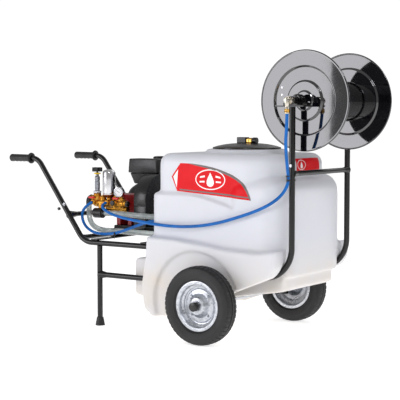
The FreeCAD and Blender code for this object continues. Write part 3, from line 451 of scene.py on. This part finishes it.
DROP = [(0, 34), (-6, 22), (-14, 8), (-20, -6), (-21, -18), (-15, -29), (-5, -34), (5, -34), (15, -29),
        (21, -18), (20, -6), (14, 8), (6, 22)]
for side, facing in (("right", -1), ("left", 1)):
    panel = [(-262, 780), (-211, 846), (-172, 846), (-140, 845), (-100, 841), (-61, 836), (-20, 829),
             (16, 821), (55, 809), (92, 796), (124, 779), (152, 760), (172, 742), (187, 723), (197, 702),
             (204, 681), (100, 688), (-20, 697), (-230, 711)]
    edge = [(-172, 846), (-140, 845), (-100, 841), (-61, 836), (-20, 829), (16, 821), (55, 809), (92, 796),
            (124, 779), (152, 760), (172, 742), (187, 723), (197, 702), (204, 681), (196, 682), (188, 701),
            (176, 721), (160, 739), (139, 756), (111, 773), (80, 788), (45, 800), (8, 811), (-28, 819),
            (-66, 827), (-105, 834), (-142, 841)]
    stripe = [(-215, 722), (-20, 711), (100, 703), (194, 696), (199, 690), (100, 696), (-20, 704),
              (-213, 716)]
    lay_film("side_panel_" + side, outline(panel), facing, 0.6, red_film)
    lay_film("side_edge_" + side, outline(edge), facing, 0.95, grey_film)
    lay_film("side_stripe_" + side, outline(stripe), facing, 0.95, grey_film)
    lay_film("side_tip_" + side, outline([(-252, 780), (-224, 815), (-232, 727)]), facing, 0.95, white_film)
    lay_film("side_oval_" + side, oval(-35, 771, 172, 98, 5), facing, 0.95, white_film)
    lay_film("side_drop_" + side, outline([(x - 35, z + 771) for x, z in DROP]), facing, 0.95, white_film)
    for wing in (-1, 1):
        lay_film("side_spray_%s_%d" % (side, wing), outline(
            [(-35 + wing * x, 771 + z) for x, z in ((32, 20), (58, 14), (60, 7), (31, 11))]), facing, 0.95,
                 white_film)
        lay_film("side_mist_%s_%d" % (side, wing), outline(
            [(-35 + wing * x, 771 + z) for x, z in ((33, -6), (62, -8), (61, -15), (32, -14))]), facing, 0.95,
            white_film)
lay_film("front_panel", outline([(-93, 813), (-93, 872), (127, 872), (127, 813)]), 0, 0.6, red_film)
lay_film("front_oval", oval(-46, 842, 76, 48, 3), 0, 0.95, white_film)
lay_film("front_drop", outline([(x * 0.5 - 46, z * 0.5 + 842) for x, z in DROP]), 0, 0.95, white_film)

# ---------------------------------------------------------------- lid and filler
# A turned black polypropylene lid with a low dome and a rolled edge, and on it a moulded filler
# block with a brass collar.
def spun(points, centre, axis, steps=96):
    """A closed form turned about an axis, from (radius, height) points in millimetres."""
    form = bmesh.new()
    verts = [form.verts.new((radius / 1000, 0, height / 1000)) for radius, height in points]
    edges = [form.edges.new(pair) for pair in zip(verts, verts[1:] + verts[:1])]
    bmesh.ops.spin(form, geom=verts + edges, cent=(0, 0, 0), axis=(0, 0, 1), angle=math.tau, steps=steps,
                   use_merge=True, use_duplicate=False)
    bmesh.ops.remove_doubles(form, verts=form.verts, dist=1e-6)
    bmesh.ops.dissolve_degenerate(form, edges=form.edges, dist=1e-7)
    turn = Vector((0, 0, 1)).rotation_difference(Vector(axis)).to_matrix().to_4x4()
    bmesh.ops.transform(form, matrix=Matrix.Translation(centre) @ turn, verts=form.verts)
    bmesh.ops.recalc_face_normals(form, faces=form.faces)
    return form


black_moulding = finish("black_moulded_polypropylene", "0C0C0D", "141314", 70, (0.24, 0.36), 1.8, 0.08,
                        IOR=1.49)
lid_black = finish("black_polypropylene_lid", "1A1614", "2A2320", 60, (0.22, 0.34), 1.8, 0.06, IOR=1.49)
machined_brass = finish("machined_brass", "C9963C", "DDB060", 30, (0.16, 0.28), 1.2, 0.03, Metallic=1.0)
lid_outline = [(0, 28.9), (40, 28.2), (80, 25.4), (108, 22.2), (112, 21.0), (116, 20.8), (140, 15.8),
               (152, 12.8), (156.5, 11.2), (158.5, 9.5), (161, 8.9), (165.5, 8.8), (167.8, 7.6), (168.7, 5.6),
               (168.7, 1.6), (167.4, 0.2), (146.2, 0.2), (146, -25.6), (145, -26), (139, -26), (138, -25.4),
               (138, 0.2), (0, 0.2)]
piece("domed_lid", smoothed(spun(lid_outline, at(-17, 0, 912.3), (0, 0, 1), 128), "domed_lid"), "tank_lid",
      ["lid"], "black_plastic", lid_black)
piece("filler_block", cast("filler_fitting", 1.5, 3), "tank_lid", ["filler_fitting"], "black_plastic",
      black_moulding)
collar = spun([(12.2, 0), (14, 0.6), (14, 9), (13, 10), (13, 12), (14, 13), (14, 20), (13.6, 26), (12.2, 27)],
              at(-11, 0, 952.3), (1, 0, 0), 6)
piece("filler_collar", smoothed(collar, "filler_collar", 25), "tank_lid", [], "brass", machined_brass)

# ---------------------------------------------------------------- wheels
# Pneumatic 3.50-8 wheels: a cured rubber tyre with a block tread on a pressed rim that is hot-dip
# galvanised, four bolts round the hub and a push-on plastic cap.
tyre_rubber, tree, place = bare("cured_carbon_black_rubber")
drift = add(tree, "TexNoise", Vector=place, Scale=14.0, Detail=5.0)
tone = add(tree, "ValToRGB", stops=((0.3, "121213"), (0.7, "1D1D1E")), Fac=drift)
grain = add(tree, "TexNoise", Vector=place, Scale=1000 / 1.6, Detail=2.0)
relief = add(tree, "Bump", Height=grain, Distance=0.00012)
shine = add(tree, "MapRange", _0=drift, _1=0.3, _2=0.7, _3=0.48, _4=0.66)
body = add(tree, "BsdfPrincipled", Base_Color=tone, Roughness=shine, Normal=relief, IOR=1.52)
add(tree, "OutputMaterial", Surface=body)

# hot-dip zinc: bright grey crystals a few millimetres across, each with its own gloss
zinc, tree, place = bare("hot_dip_galvanised_steel")
crystal = add(tree, "TexVoronoi", Vector=place, Scale=1000 / 9)
spangle = add(tree, "SeparateColor", Color=crystal.outputs["Color"])
tone = add(tree, "ValToRGB", stops=((0.1, "B2B5BB"), (0.9, "CFD2D7")), Fac=spangle)
shine = add(tree, "MapRange", _0=spangle, _1=0.0, _2=1.0, _3=0.26, _4=0.38)
grain = add(tree, "TexNoise", Vector=place, Scale=1000 / 9, Detail=2.0)
relief = add(tree, "Bump", Height=grain, Distance=0.00007)
body = add(tree, "BsdfPrincipled", Base_Color=tone, Roughness=shine, Normal=relief, Metallic=1.0)
add(tree, "OutputMaterial", Surface=body)

dark_plastic = finish("black_moulded_nylon", "0E0C0D", "191516", 25, (0.15, 0.3), 1.5, 0.04, IOR=1.53)
HALF_TYRE = [(104.4, 25.5), (108, 27.5), (117, 27.6), (121, 29.4), (124, 33.5), (127, 37.2), (129.5, 39.4),
             (132, 39.3), (136, 41.2), (144, 43.2), (150, 43.9), (152, 44.4), (155, 44.4), (157, 43.9),
             (163, 43.2), (168, 41.6), (171, 41.0), (174, 39.6), (178.2, 35), (181.2, 29), (183.2, 21),
             (184.2, 12.5), (184.4, 6.5)]
LINER = [(104.4, 14), (112, 20), (128, 31), (146, 37), (163, 35), (174, 24), (177, 8)]
tyre_outline = (HALF_TYRE + [(r, -h) for r, h in reversed(HALF_TYRE)] + [(r, -h) for r, h in LINER]
                + list(reversed(LINER)))
SECTORS = 144
TREAD_DEPTH = 0.0026
# the crown starts at this radius, in metres; the rest are millimetres from the tyre's middle
CROWN = 0.1725
CENTRE_RIB, LUG_START, LUG_END = 6.6, 13, 41
for side, sign in (("right", -1), ("left", 1)):
    centre = at(0, sign * 424, 187.5)
    form = spun(tyre_outline, centre, (0, sign, 0), SECTORS)
    blocks = []
    for face in form.faces:
        spot = face.calc_center_median() - centre
        radial = Vector((spot.x, 0, spot.z))
        turn = math.atan2(spot.z, spot.x) / math.tau * SECTORS
        height = spot.y * sign * 1000
        if face.normal.dot(radial.normalized()) < 0.2 or radial.length < CROWN:
            continue
        shift = 1 if height > 0 else 0
        in_lug = LUG_START < abs(height) < LUG_END and int(turn + shift + SECTORS) % 3 < 2
        if abs(height) < CENTRE_RIB or in_lug:
            blocks.append(face)
    raised = bmesh.ops.extrude_face_region(form, geom=blocks)["geom"]
    bmesh.ops.delete(form, geom=blocks, context="FACES")
    for vert in (v for v in raised if isinstance(v, bmesh.types.BMVert)):
        spot = vert.co - centre
        radial = Vector((spot.x, 0, spot.z)).normalized()
        vert.co += radial * TREAD_DEPTH
    bmesh.ops.recalc_face_normals(form, faces=form.faces)
    piece("treaded_tyre_" + side, smoothed(form, "treaded_tyre", 40), "wheel_" + side, ["tyre_" + side],
          "tyre", tyre_rubber)
    piece("pressed_rim_" + side, edged("rim_" + side, 0.7, 25), "wheel_" + side, ["rim_" + side], "zinc",
          zinc)
    coat(zinc, "hub_and_bolts_" + side)
    piece("push_on_cap_" + side, edged("hub_cap_" + side, 3.0, 60), "wheel_" + side, ["hub_cap_" + side],
          "black_plastic", dark_plastic)
coat(zinc, "axle")

# ---------------------------------------------------------------- hose reel
# Two pressed steel discs with stepped centres and rolled rims on a rolled drum, enamelled in a
# deep black that mirrors the room.
reel_enamel = finish("black_stoved_enamel", "07070A", "0D0D12", 70, (0.03, 0.07), 60, 0.05, IOR=1.62,
                     Coat_Weight=1.0, Coat_Roughness=0.03, Coat_IOR=1.6)
DISC_FRONT = [(14.2, 12), (38.5, 12), (40, 12), (42.5, 11.2), (45.5, 8), (48, 7), (49.5, 7), (84.5, 7),
              (86, 7), (89, 6.2), (92, 1), (95, 0), (96.5, 0), (151.5, 0), (153, 0), (156, 0.8), (159.5, 7.2),
              (162.5, 8), (164, 8), (223.5, 8), (225, 8), (227.5, 8.6), (230.4, 8.5), (232.6, 7), (233.4, 5),
              (232.6, 3), (230.4, 1.6), (227.8, 1.8), (226.4, 4.2), (225.4, 6.5)]
DISC_BACK = [(223.5, 6.5), (164.5, 6.5), (163, 6.5), (160.6, 5.7), (157, -0.8), (153.6, -1.5), (152, -1.5),
             (96, -1.5), (94.4, -1.5), (90.8, -0.6), (88, 4.8), (85.2, 5.5), (83.5, 5.5), (49, 5.5),
             (47.4, 5.5), (44.2, 6.6), (41.4, 9.8), (39.4, 10.5), (14.2, 10.5)]
for side, sign in (("right", -1), ("left", 1)):
    disc = spun(DISC_FRONT + DISC_BACK, at(431, sign * 205, 1143), (0, sign, 0), 160)
    piece("pressed_disc_" + side, smoothed(disc, "pressed_disc", 50), "reel", ["reel_disc_" + side],
          "reel_black", reel_enamel)
coat(reel_enamel, "reel_drum")
bolt_zinc = finish("zinc_plated_steel", "B9BBC0", "D2D3D6", 12, (0.2, 0.34), 1.5, 0.03, Metallic=1.0)


def bolt(name, spot, axis, across, tall, body):
    """A hexagon bolt head with a chamfered top, on its washer."""
    rim = across / 2
    head = spun([(0, 0), (rim, 0), (rim, tall * 0.75), (rim * 0.82, tall), (0, tall)], spot, axis, 6)
    washer = spun([(0, 0), (rim * 1.35, 0), (rim * 1.35, 1.2), (0, 1.2)], spot, axis, 24)
    joined = bpy.data.meshes.new("washer")
    washer.to_mesh(joined)
    washer.free()
    head.from_mesh(joined)
    bpy.data.meshes.remove(joined)
    piece(name, smoothed(head, name, 30), body, [], "zinc", bolt_zinc)


for number, (across, up) in enumerate(((-122, 62), (-122, 28))):
    for side, sign in (("right", -1), ("left", 1)):
        bolt("disc_rivet_%s_%d" % (side, number),
             at(431 + across, sign * 205, 1143 + up) + Vector((0, sign * 0.0001, 0)), (0, sign, 0), 7, 3,
             "reel")
piece("cast_bearings", edged("reel_bearings", 1.5), "frame", ["reel_bearings"], "frame_black", frame_black)
piece("flat_crank", edged("crank_arm", 1.2), "reel", ["crank_arm"], "frame_black", frame_black)
piece("turned_knob", cast("crank_knob", 2.0, 3), "crank_handle", ["crank_knob"], "black_plastic",
      black_moulding)
nickel = finish("nickel_plated_brass", "B9B2A4", "D8D2C4", 20, (0.14, 0.26), 1.5, 0.03, Metallic=1.0)
piece("hose_swivel", edged("swivel", 0.8), "frame", ["swivel"], "brass", nickel)
ferrule = spun([(11.7, 0), (12.4, 0.6), (12.4, 6), (11.7, 7), (12.4, 8), (12.4, 15), (11.7, 16)],
               at(431, HOSE_TOP_Y, 1088), (0, 0, 1), 48)
piece("hose_ferrule", smoothed(ferrule, "hose_ferrule"), "frame", [], "brass", machined_brass)
for side, sign in (("right", -1), ("left", 1)):
    for number, x in enumerate((372, 486)):
        bolt("bearing_bolt_%s_%d" % (side, number), at(x, sign * 264, 1133), (0, 0, 1), 11, 6, "frame")

# ---------------------------------------------------------------- pump
# A sand-cast brass manifold on a red cast-iron crankcase, with a stainless air chamber, a steel
# regulator, a dial gauge and two red lever valves.
cast_brass, tree, place = bare("sand_cast_brass")
drift = add(tree, "TexNoise", Vector=place, Scale=1000 / 26, Detail=5.0, Roughness=0.65)
tone = add(tree, "ValToRGB", stops=((0.3, "9A6420"), (0.52, "C98E35"), (0.75, "E3B45A")), Fac=drift)
grit = add(tree, "TexNoise", Vector=place, Scale=1000 / 1.1, Detail=4.0)
relief = add(tree, "Bump", Height=grit, Distance=0.00022)
shine = add(tree, "MapRange", _0=drift, _1=0.3, _2=0.7, _3=0.42, _4=0.2)
body = add(tree, "BsdfPrincipled", Base_Color=tone, Roughness=shine, Normal=relief, Metallic=1.0)
add(tree, "OutputMaterial", Surface=body)
red_iron = finish("red_enamelled_cast_iron", "7E1418", "A01D20", 40, (0.28, 0.46), 2.2, 0.2, IOR=1.5)
red_lever = finish("red_dipped_vinyl", "D3151C", "E42A2C", 20, (0.25, 0.36), 1.6, 0.05, IOR=1.5)
steel = finish("bright_drawn_steel", "76787E", "9A9CA2", 16, (0.18, 0.32), 1.0, 0.03, Metallic=1.0)
stainless = finish("polished_stainless_steel", "C4C4C8", "DAD9DA", 60, (0.06, 0.14), 1.5, 0.01, Metallic=1.0)
copper_base = finish("bronze_base", "6E3A1E", "93552C", 16, (0.25, 0.4), 1.5, 0.06, Metallic=1.0)
piece("brass_manifold", cast("pump_manifold", 1.5, 3), "frame", ["pump_manifold"], "brass", cast_brass)
piece("iron_crankcase", cast("pump_crankcase", 2.6, 4), "frame", ["pump_crankcase"], "red_paint", red_iron)
piece("moulded_strainer", cast("suction_strainer", 1.5, 5), "frame", ["suction_strainer"], "black_plastic",
      black_moulding)
piece("moulded_elbow", cast("bypass_elbow", 1.5, 3), "frame", ["bypass_elbow"], "black_plastic",
      black_moulding)
chamber_outline = [(0, 0), (14, 0.2), (22, 5.5), (30, 11.6), (33.2, 14), (33.9, 16.5), (33.9, 20), (32.8, 21),
                   (33.4, 22.5), (33.9, 26), (33.9, 124), (33.3, 130.5), (31, 136.5), (26.5, 141.5),
                   (20, 145), (10, 147), (0, 147.8)]
chamber_mesh = smoothed(spun(chamber_outline, at(-779, -141, 649), (0, 0, 1), 80), "air_chamber_form")
piece("spun_air_chamber", chamber_mesh, "frame", ["air_chamber"], "bright_steel", stainless, copper_base)
BASE_RING_TOP = 0.6655
for polygon in chamber_mesh.polygons:
    polygon.material_index = 1 if polygon.center.z < BASE_RING_TOP else 0
barrel = spun([(0, 0), (14, 0), (14, 14), (12.6, 16), (12.6, 22), (13.6, 24), (13.6, 60), (12.4, 62),
               (12.4, 66), (13.4, 68), (13.4, 84), (11, 89), (8.4, 91), (8.4, 99), (5, 108), (5, 131.5),
               (0, 131.5)],
              at(-858, -141, 670), (0, 0, 1), 40)
piece("spring_barrel", smoothed(barrel, "spring_barrel", 28), "frame", ["regulator_barrel"], "steel", steel)
lock_nut = spun([(5.2, 0), (23, 0), (23.6, 2), (23.6, 8), (22, 10.5), (14, 11.5), (5.2, 11.5)],
                at(-858, -141, 671), (0, 0, 1), 6)
piece("regulator_nut", smoothed(lock_nut, "regulator_nut", 28), "frame", [], "steel", bolt_zinc)
yellow = finish("yellow_moulded_nylon", "E0B400", "F2CB12", 20, (0.3, 0.4), 1.5, 0.04, IOR=1.53)
ring = spun([(8.8, 99), (14, 99.4), (18.6, 101.5), (18.6, 105.5), (12, 107.4), (6, 108.5), (5.2, 103)],
            at(-858, -141, 670), (0, 0, 1), 40)
piece("regulator_ring", smoothed(ring, "regulator_ring"), "frame", [], "brass", yellow)
piece("lobed_knob", cast("regulator_knob", 1.4, 4), "pressure_knob", ["regulator_knob"], "black_plastic",
      black_moulding)
for label in ("rear", "front"):
    piece("dipped_lever_" + label, cast("valve_lever_" + label, 1.0, 3), label + "_valve_lever",
          ["valve_lever_" + label], "red_plastic", red_lever)

# dial gauge: a chromed case, a white dial with ticks and a dark needle under the bezel
chrome = finish("chromed_steel", "B8BABE", "CFD1D4", 20, (0.05, 0.12), 2.0, 0.01, Metallic=1.0)
dial_white = finish("white_printed_dial", "ECEDEE", "F6F6F6", 20, (0.2, 0.3), 2.0, 0.01, IOR=1.5)
print_black = finish("black_dial_print", "141416", "1E1E20", 10, (0.3, 0.4), 2.0, 0.01, IOR=1.5)
gauge_low, gauge_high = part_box("pressure_gauge")
GAUGE_FACE = Vector((math.sin(math.radians(12)), -math.cos(math.radians(12)), 0))
gauge_back = at(-708, -133, (gauge_low.z + gauge_high.z) * 500)
case_outline = [(0, 0), (22, 0), (24.6, 2), (24.9, 5), (24.9, 20), (26, 21.6), (26.9, 23.2), (26.9, 26),
                (25.6, 27.7), (23.6, 27.9), (22.4, 26.6), (22, 24.4), (0, 24.4)]
piece("gauge_case", smoothed(spun(case_outline, gauge_back, GAUGE_FACE, 64), "gauge_case"), "frame",
      ["pressure_gauge"], "bright_steel", chrome)
piece("gauge_dial", smoothed(spun([(0, 24.5), (21.9, 24.5), (21.9, 25), (0, 25)], gauge_back, GAUGE_FACE, 48),
                             "gauge_dial"), "frame", [], "gauge_white", dial_white)
form = bmesh.new()
across = Vector((0, 0, 1)).cross(GAUGE_FACE)
MARKS = [(math.radians(-135 + 27 * number), 15.5, 20, 0.55) for number in range(11)] + [(math.radians(-60),
                                                                                         -5, 15, 0.9)]
for lean, start, end, half in MARKS:
    bar = bmesh.ops.create_cube(form, size=1)["verts"]
    bmesh.ops.scale(form, vec=(half * 2 / 1000, 0.0005, (end - start) / 1000), verts=bar)
    bmesh.ops.translate(form, vec=(0, 0, (start + end) / 2000), verts=bar)
    bmesh.ops.rotate(form, matrix=Matrix.Rotation(lean, 3, "Y"), verts=bar)
turn = Matrix((across, -GAUGE_FACE, Vector((0, 0, 1)))).transposed().to_4x4()
bmesh.ops.transform(form, matrix=Matrix.Translation(gauge_back + GAUGE_FACE * 0.0254) @ turn,
                    verts=form.verts)
piece("gauge_marks", smoothed(form, "gauge_marks"), "frame", [], "black_plastic", print_black)
plug = spun([(0, 0), (14.5, 0), (15, 1.5), (15, 11), (13.5, 13), (0, 13.4)], at(-664.5, -141, 620), (1, 0, 0),
            12)
piece("manifold_plug", smoothed(plug, "manifold_plug", 25), "frame", [], "black_plastic", black_moulding)
stub = spun([(0, 0), (12.6, 0), (13, 1), (13, 10), (11.5, 11.6), (0, 12)], at(-722, -178.8, 625), (0, -1, 0),
            24)
piece("outlet_cap", smoothed(stub, "outlet_cap", 25), "frame", [], "black_plastic", black_moulding)

# ---------------------------------------------------------------- engine
# A small air-cooled petrol engine: finned aluminium block, black moulded air box, pressed fuel
# tank and starter housing in black, and a perforated guard over the silencer.
alloy = finish("die_cast_aluminium", "6E7074", "8A8C90", 22, (0.35, 0.5), 1.6, 0.12, Metallic=1.0)
black_enamel = finish("black_enamelled_steel", "0E0E0F", "191919", 60, (0.2, 0.34), 2.5, 0.05, IOR=1.5)
piece("finned_block", cast("engine_block", 2.4, 2, 0.5), "frame", ["engine_block"], "steel", alloy)
piece("pressed_fuel_tank", cast("fuel_tank", 3.5, 6), "frame", ["fuel_tank"], "black_plastic", black_enamel)
piece("starter_housing", cast("recoil_housing", 2.6, 4), "frame", ["recoil_housing"], "black_plastic",
      black_enamel)
piece("starter_handle", cast("starter_grip", 1.2, 2), "starter", ["starter_grip"], "black_plastic",
      black_moulding)
piece("silencer_guard", cast("muffler", 3.0, 4), "frame", ["muffler"], "steel", black_enamel)

# the air box: a deep cover over a narrower tapered base, with a clip on the seam
box_low, box_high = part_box("air_filter")
SEAM = 0.770
LID_DRAFT = 0.004
form = bmesh.new()
for low, high, foot_inset, inset in ((box_low.z, SEAM - 0.001, 0.016, 0.007),
                                     (SEAM + 0.001, box_high.z, 0.0, 0.0)):
    part = bmesh.ops.create_cube(form, size=1)["verts"]
    for vert in part:
        shrink = (foot_inset + inset) if vert.co.z < 0 else inset
        if low > SEAM:
            shrink = 0.0 if vert.co.z < 0 else LID_DRAFT
        middle = (box_low + box_high) / 2
        half = (box_high - box_low) / 2
        vert.co = Vector((middle.x + (1 if vert.co.x > 0 else -1) * (half.x - shrink),
                          middle.y + (1 if vert.co.y > 0 else -1) * (half.y - shrink),
                          low if vert.co.z < 0 else high))
uprights = [e for e in form.edges if abs(e.verts[0].co.z - e.verts[1].co.z) > 0.02]
bmesh.ops.bevel(form, geom=uprights, offset=0.016, offset_type="OFFSET", segments=6, profile=0.5,
                affect="EDGES", material=-1)
rims = [e for e in form.edges if len(e.link_faces) == 2 and e.calc_face_angle() > math.radians(50)]
bmesh.ops.bevel(form, geom=rims, offset=0.005, offset_type="OFFSET", segments=3, profile=0.5, affect="EDGES",
                material=-1, clamp_overlap=True)
piece("moulded_air_box", smoothed(form, "moulded_air_box", 50), "frame", ["air_filter"], "black_plastic",
      black_moulding)
form = bmesh.new()
clip = bmesh.ops.create_cube(form, size=1)["verts"]
bmesh.ops.scale(form, vec=(0.007, 0.030, 0.022), verts=clip)
bmesh.ops.translate(form, vec=(box_low.x + 0.0036, box_low.y + 0.045, SEAM), verts=clip)
bmesh.ops.bevel(form, geom=form.edges, offset=0.0018, offset_type="OFFSET", segments=2, profile=0.5,
                affect="EDGES", material=-1)
piece("air_box_clip", smoothed(form, "air_box_clip", 50), "frame", [], "zinc", bolt_zinc)

# the fuel cap: a fluted black moulding
cap_low, cap_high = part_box("fuel_cap")
cap_middle = Vector(((cap_low.x + cap_high.x) / 2, (cap_low.y + cap_high.y) / 2, cap_low.z))
cap_wide = (cap_high.x - cap_low.x) * 500
cap_tall = (cap_high.z - cap_low.z) * 1000
form = spun([(22.4, 0.2), (cap_wide - 3, 0.2), (cap_wide - 1.4, 2), (cap_wide - 1.4, cap_tall - 5),
             (cap_wide - 4, cap_tall - 2), (cap_wide * 0.6, cap_tall - 0.4), (0, cap_tall - 0.1),
             (0, cap_tall - 9), (22.4, cap_tall - 9)], cap_middle, (0, 0, 1), 48)
FLUTE_DEPTH = 0.0013
flutes = [f for f in form.faces if abs(f.normal.z) < 0.3
          and (f.calc_center_median().xy - cap_middle.xy).length * 1000 > cap_wide - 2
          and int((math.atan2(*(f.calc_center_median().xy - cap_middle.xy)) + math.pi) / math.tau * 48) % 2]
raised = bmesh.ops.extrude_face_region(form, geom=flutes)["geom"]
bmesh.ops.delete(form, geom=flutes, context="FACES")
for vert in (v for v in raised if isinstance(v, bmesh.types.BMVert)):
    out = Vector((*(vert.co.xy - cap_middle.xy), 0)).normalized()
    vert.co += out * FLUTE_DEPTH
bmesh.ops.recalc_face_normals(form, faces=form.faces)
piece("fluted_fuel_cap", smoothed(form, "fluted_fuel_cap", 40), "filler_cap", ["fuel_cap"], "black_plastic",
      black_moulding)
coat(alloy, "engine_pulley", "pump_pulley")
belt_rubber = finish("ribbed_belt_rubber", "141414", "202020", 20, (0.5, 0.65), 2.0, 0.1, IOR=1.5)
coat(belt_rubber, "drive_belt")
piece("folded_belt_cover", edged("belt_cover", 2.5, 40), "frame", ["belt_cover"], "frame_black", black_enamel)

# ---------------------------------------------------------------- grips, feet and fittings
# Soft PVC grips with finger grooves and a guard flange, rubber feet, nylon hose tails, cable
# ties, and the zinc-plated bolts that hold the frame.
grip_vinyl = finish("black_dipped_PVC_grip", "0F0F10", "181819", 30, (0.4, 0.55), 1.2, 0.15, IOR=1.53)
for side in ("right", "left"):
    piece("grooved_grip_" + side, cast("grip_" + side, 1.8, 4), "frame", ["grip_" + side], "rubber",
          grip_vinyl)
coat(grip_vinyl, "rubber_feet")
coat(black_moulding, "tank_fittings", "hose_clip")
for side, sign in (("right", -1), ("left", 1)):
    bolt("slope_bolt_" + side, at(-969, sign * 278, 615), (0, sign, 0), 12, 7, "frame")
    bolt("clip_bolt_" + side, at(400, sign * 278, 846), (0, sign, 0), 10, 4, "frame")
    knob = spun([(0, 0), (7, 0), (8, 1.5), (8, 9), (6.5, 11), (0, 11.4)], at(-1000, sign * 278, 590),
                (0, sign, 0), 24)
    piece("clamp_knob_" + side, smoothed(knob, "clamp_knob"), "frame", [], "black_plastic", black_moulding)


def tie(name, spot, along, across_mm):
    """A nylon cable tie: a flat band with its locking head and a cut tail."""
    form = spun([(across_mm, -2.2), (across_mm + 1.3, -2.2), (across_mm + 1.3, 2.2), (across_mm, 2.2)], spot,
                along, 40)
    head = bmesh.ops.create_cube(form, size=1)["verts"]
    bmesh.ops.scale(form, vec=(0.005, 0.006, 0.007), verts=head)
    bmesh.ops.translate(form, vec=spot + Vector((0, -across_mm / 1000 - 0.003, 0)), verts=head)
    tail = bmesh.ops.create_cube(form, size=1)["verts"]
    bmesh.ops.scale(form, vec=(0.0035, 0.0012, 0.024), verts=tail)
    bmesh.ops.translate(form, vec=spot + Vector((0.001, -across_mm / 1000 - 0.004, -0.014)), verts=tail)
    piece(name, smoothed(form, name, 40), "frame", [], "black_plastic", black_moulding)


tie("hose_tie_low", at(-668, -225.5, 474), (1, 0, 0.12), 8.0)
tie("hose_tie_upright", at(396.5, -296, 800), (-0.05, -0.05, 1), 8.0)

size = [list(corner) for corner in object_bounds()]
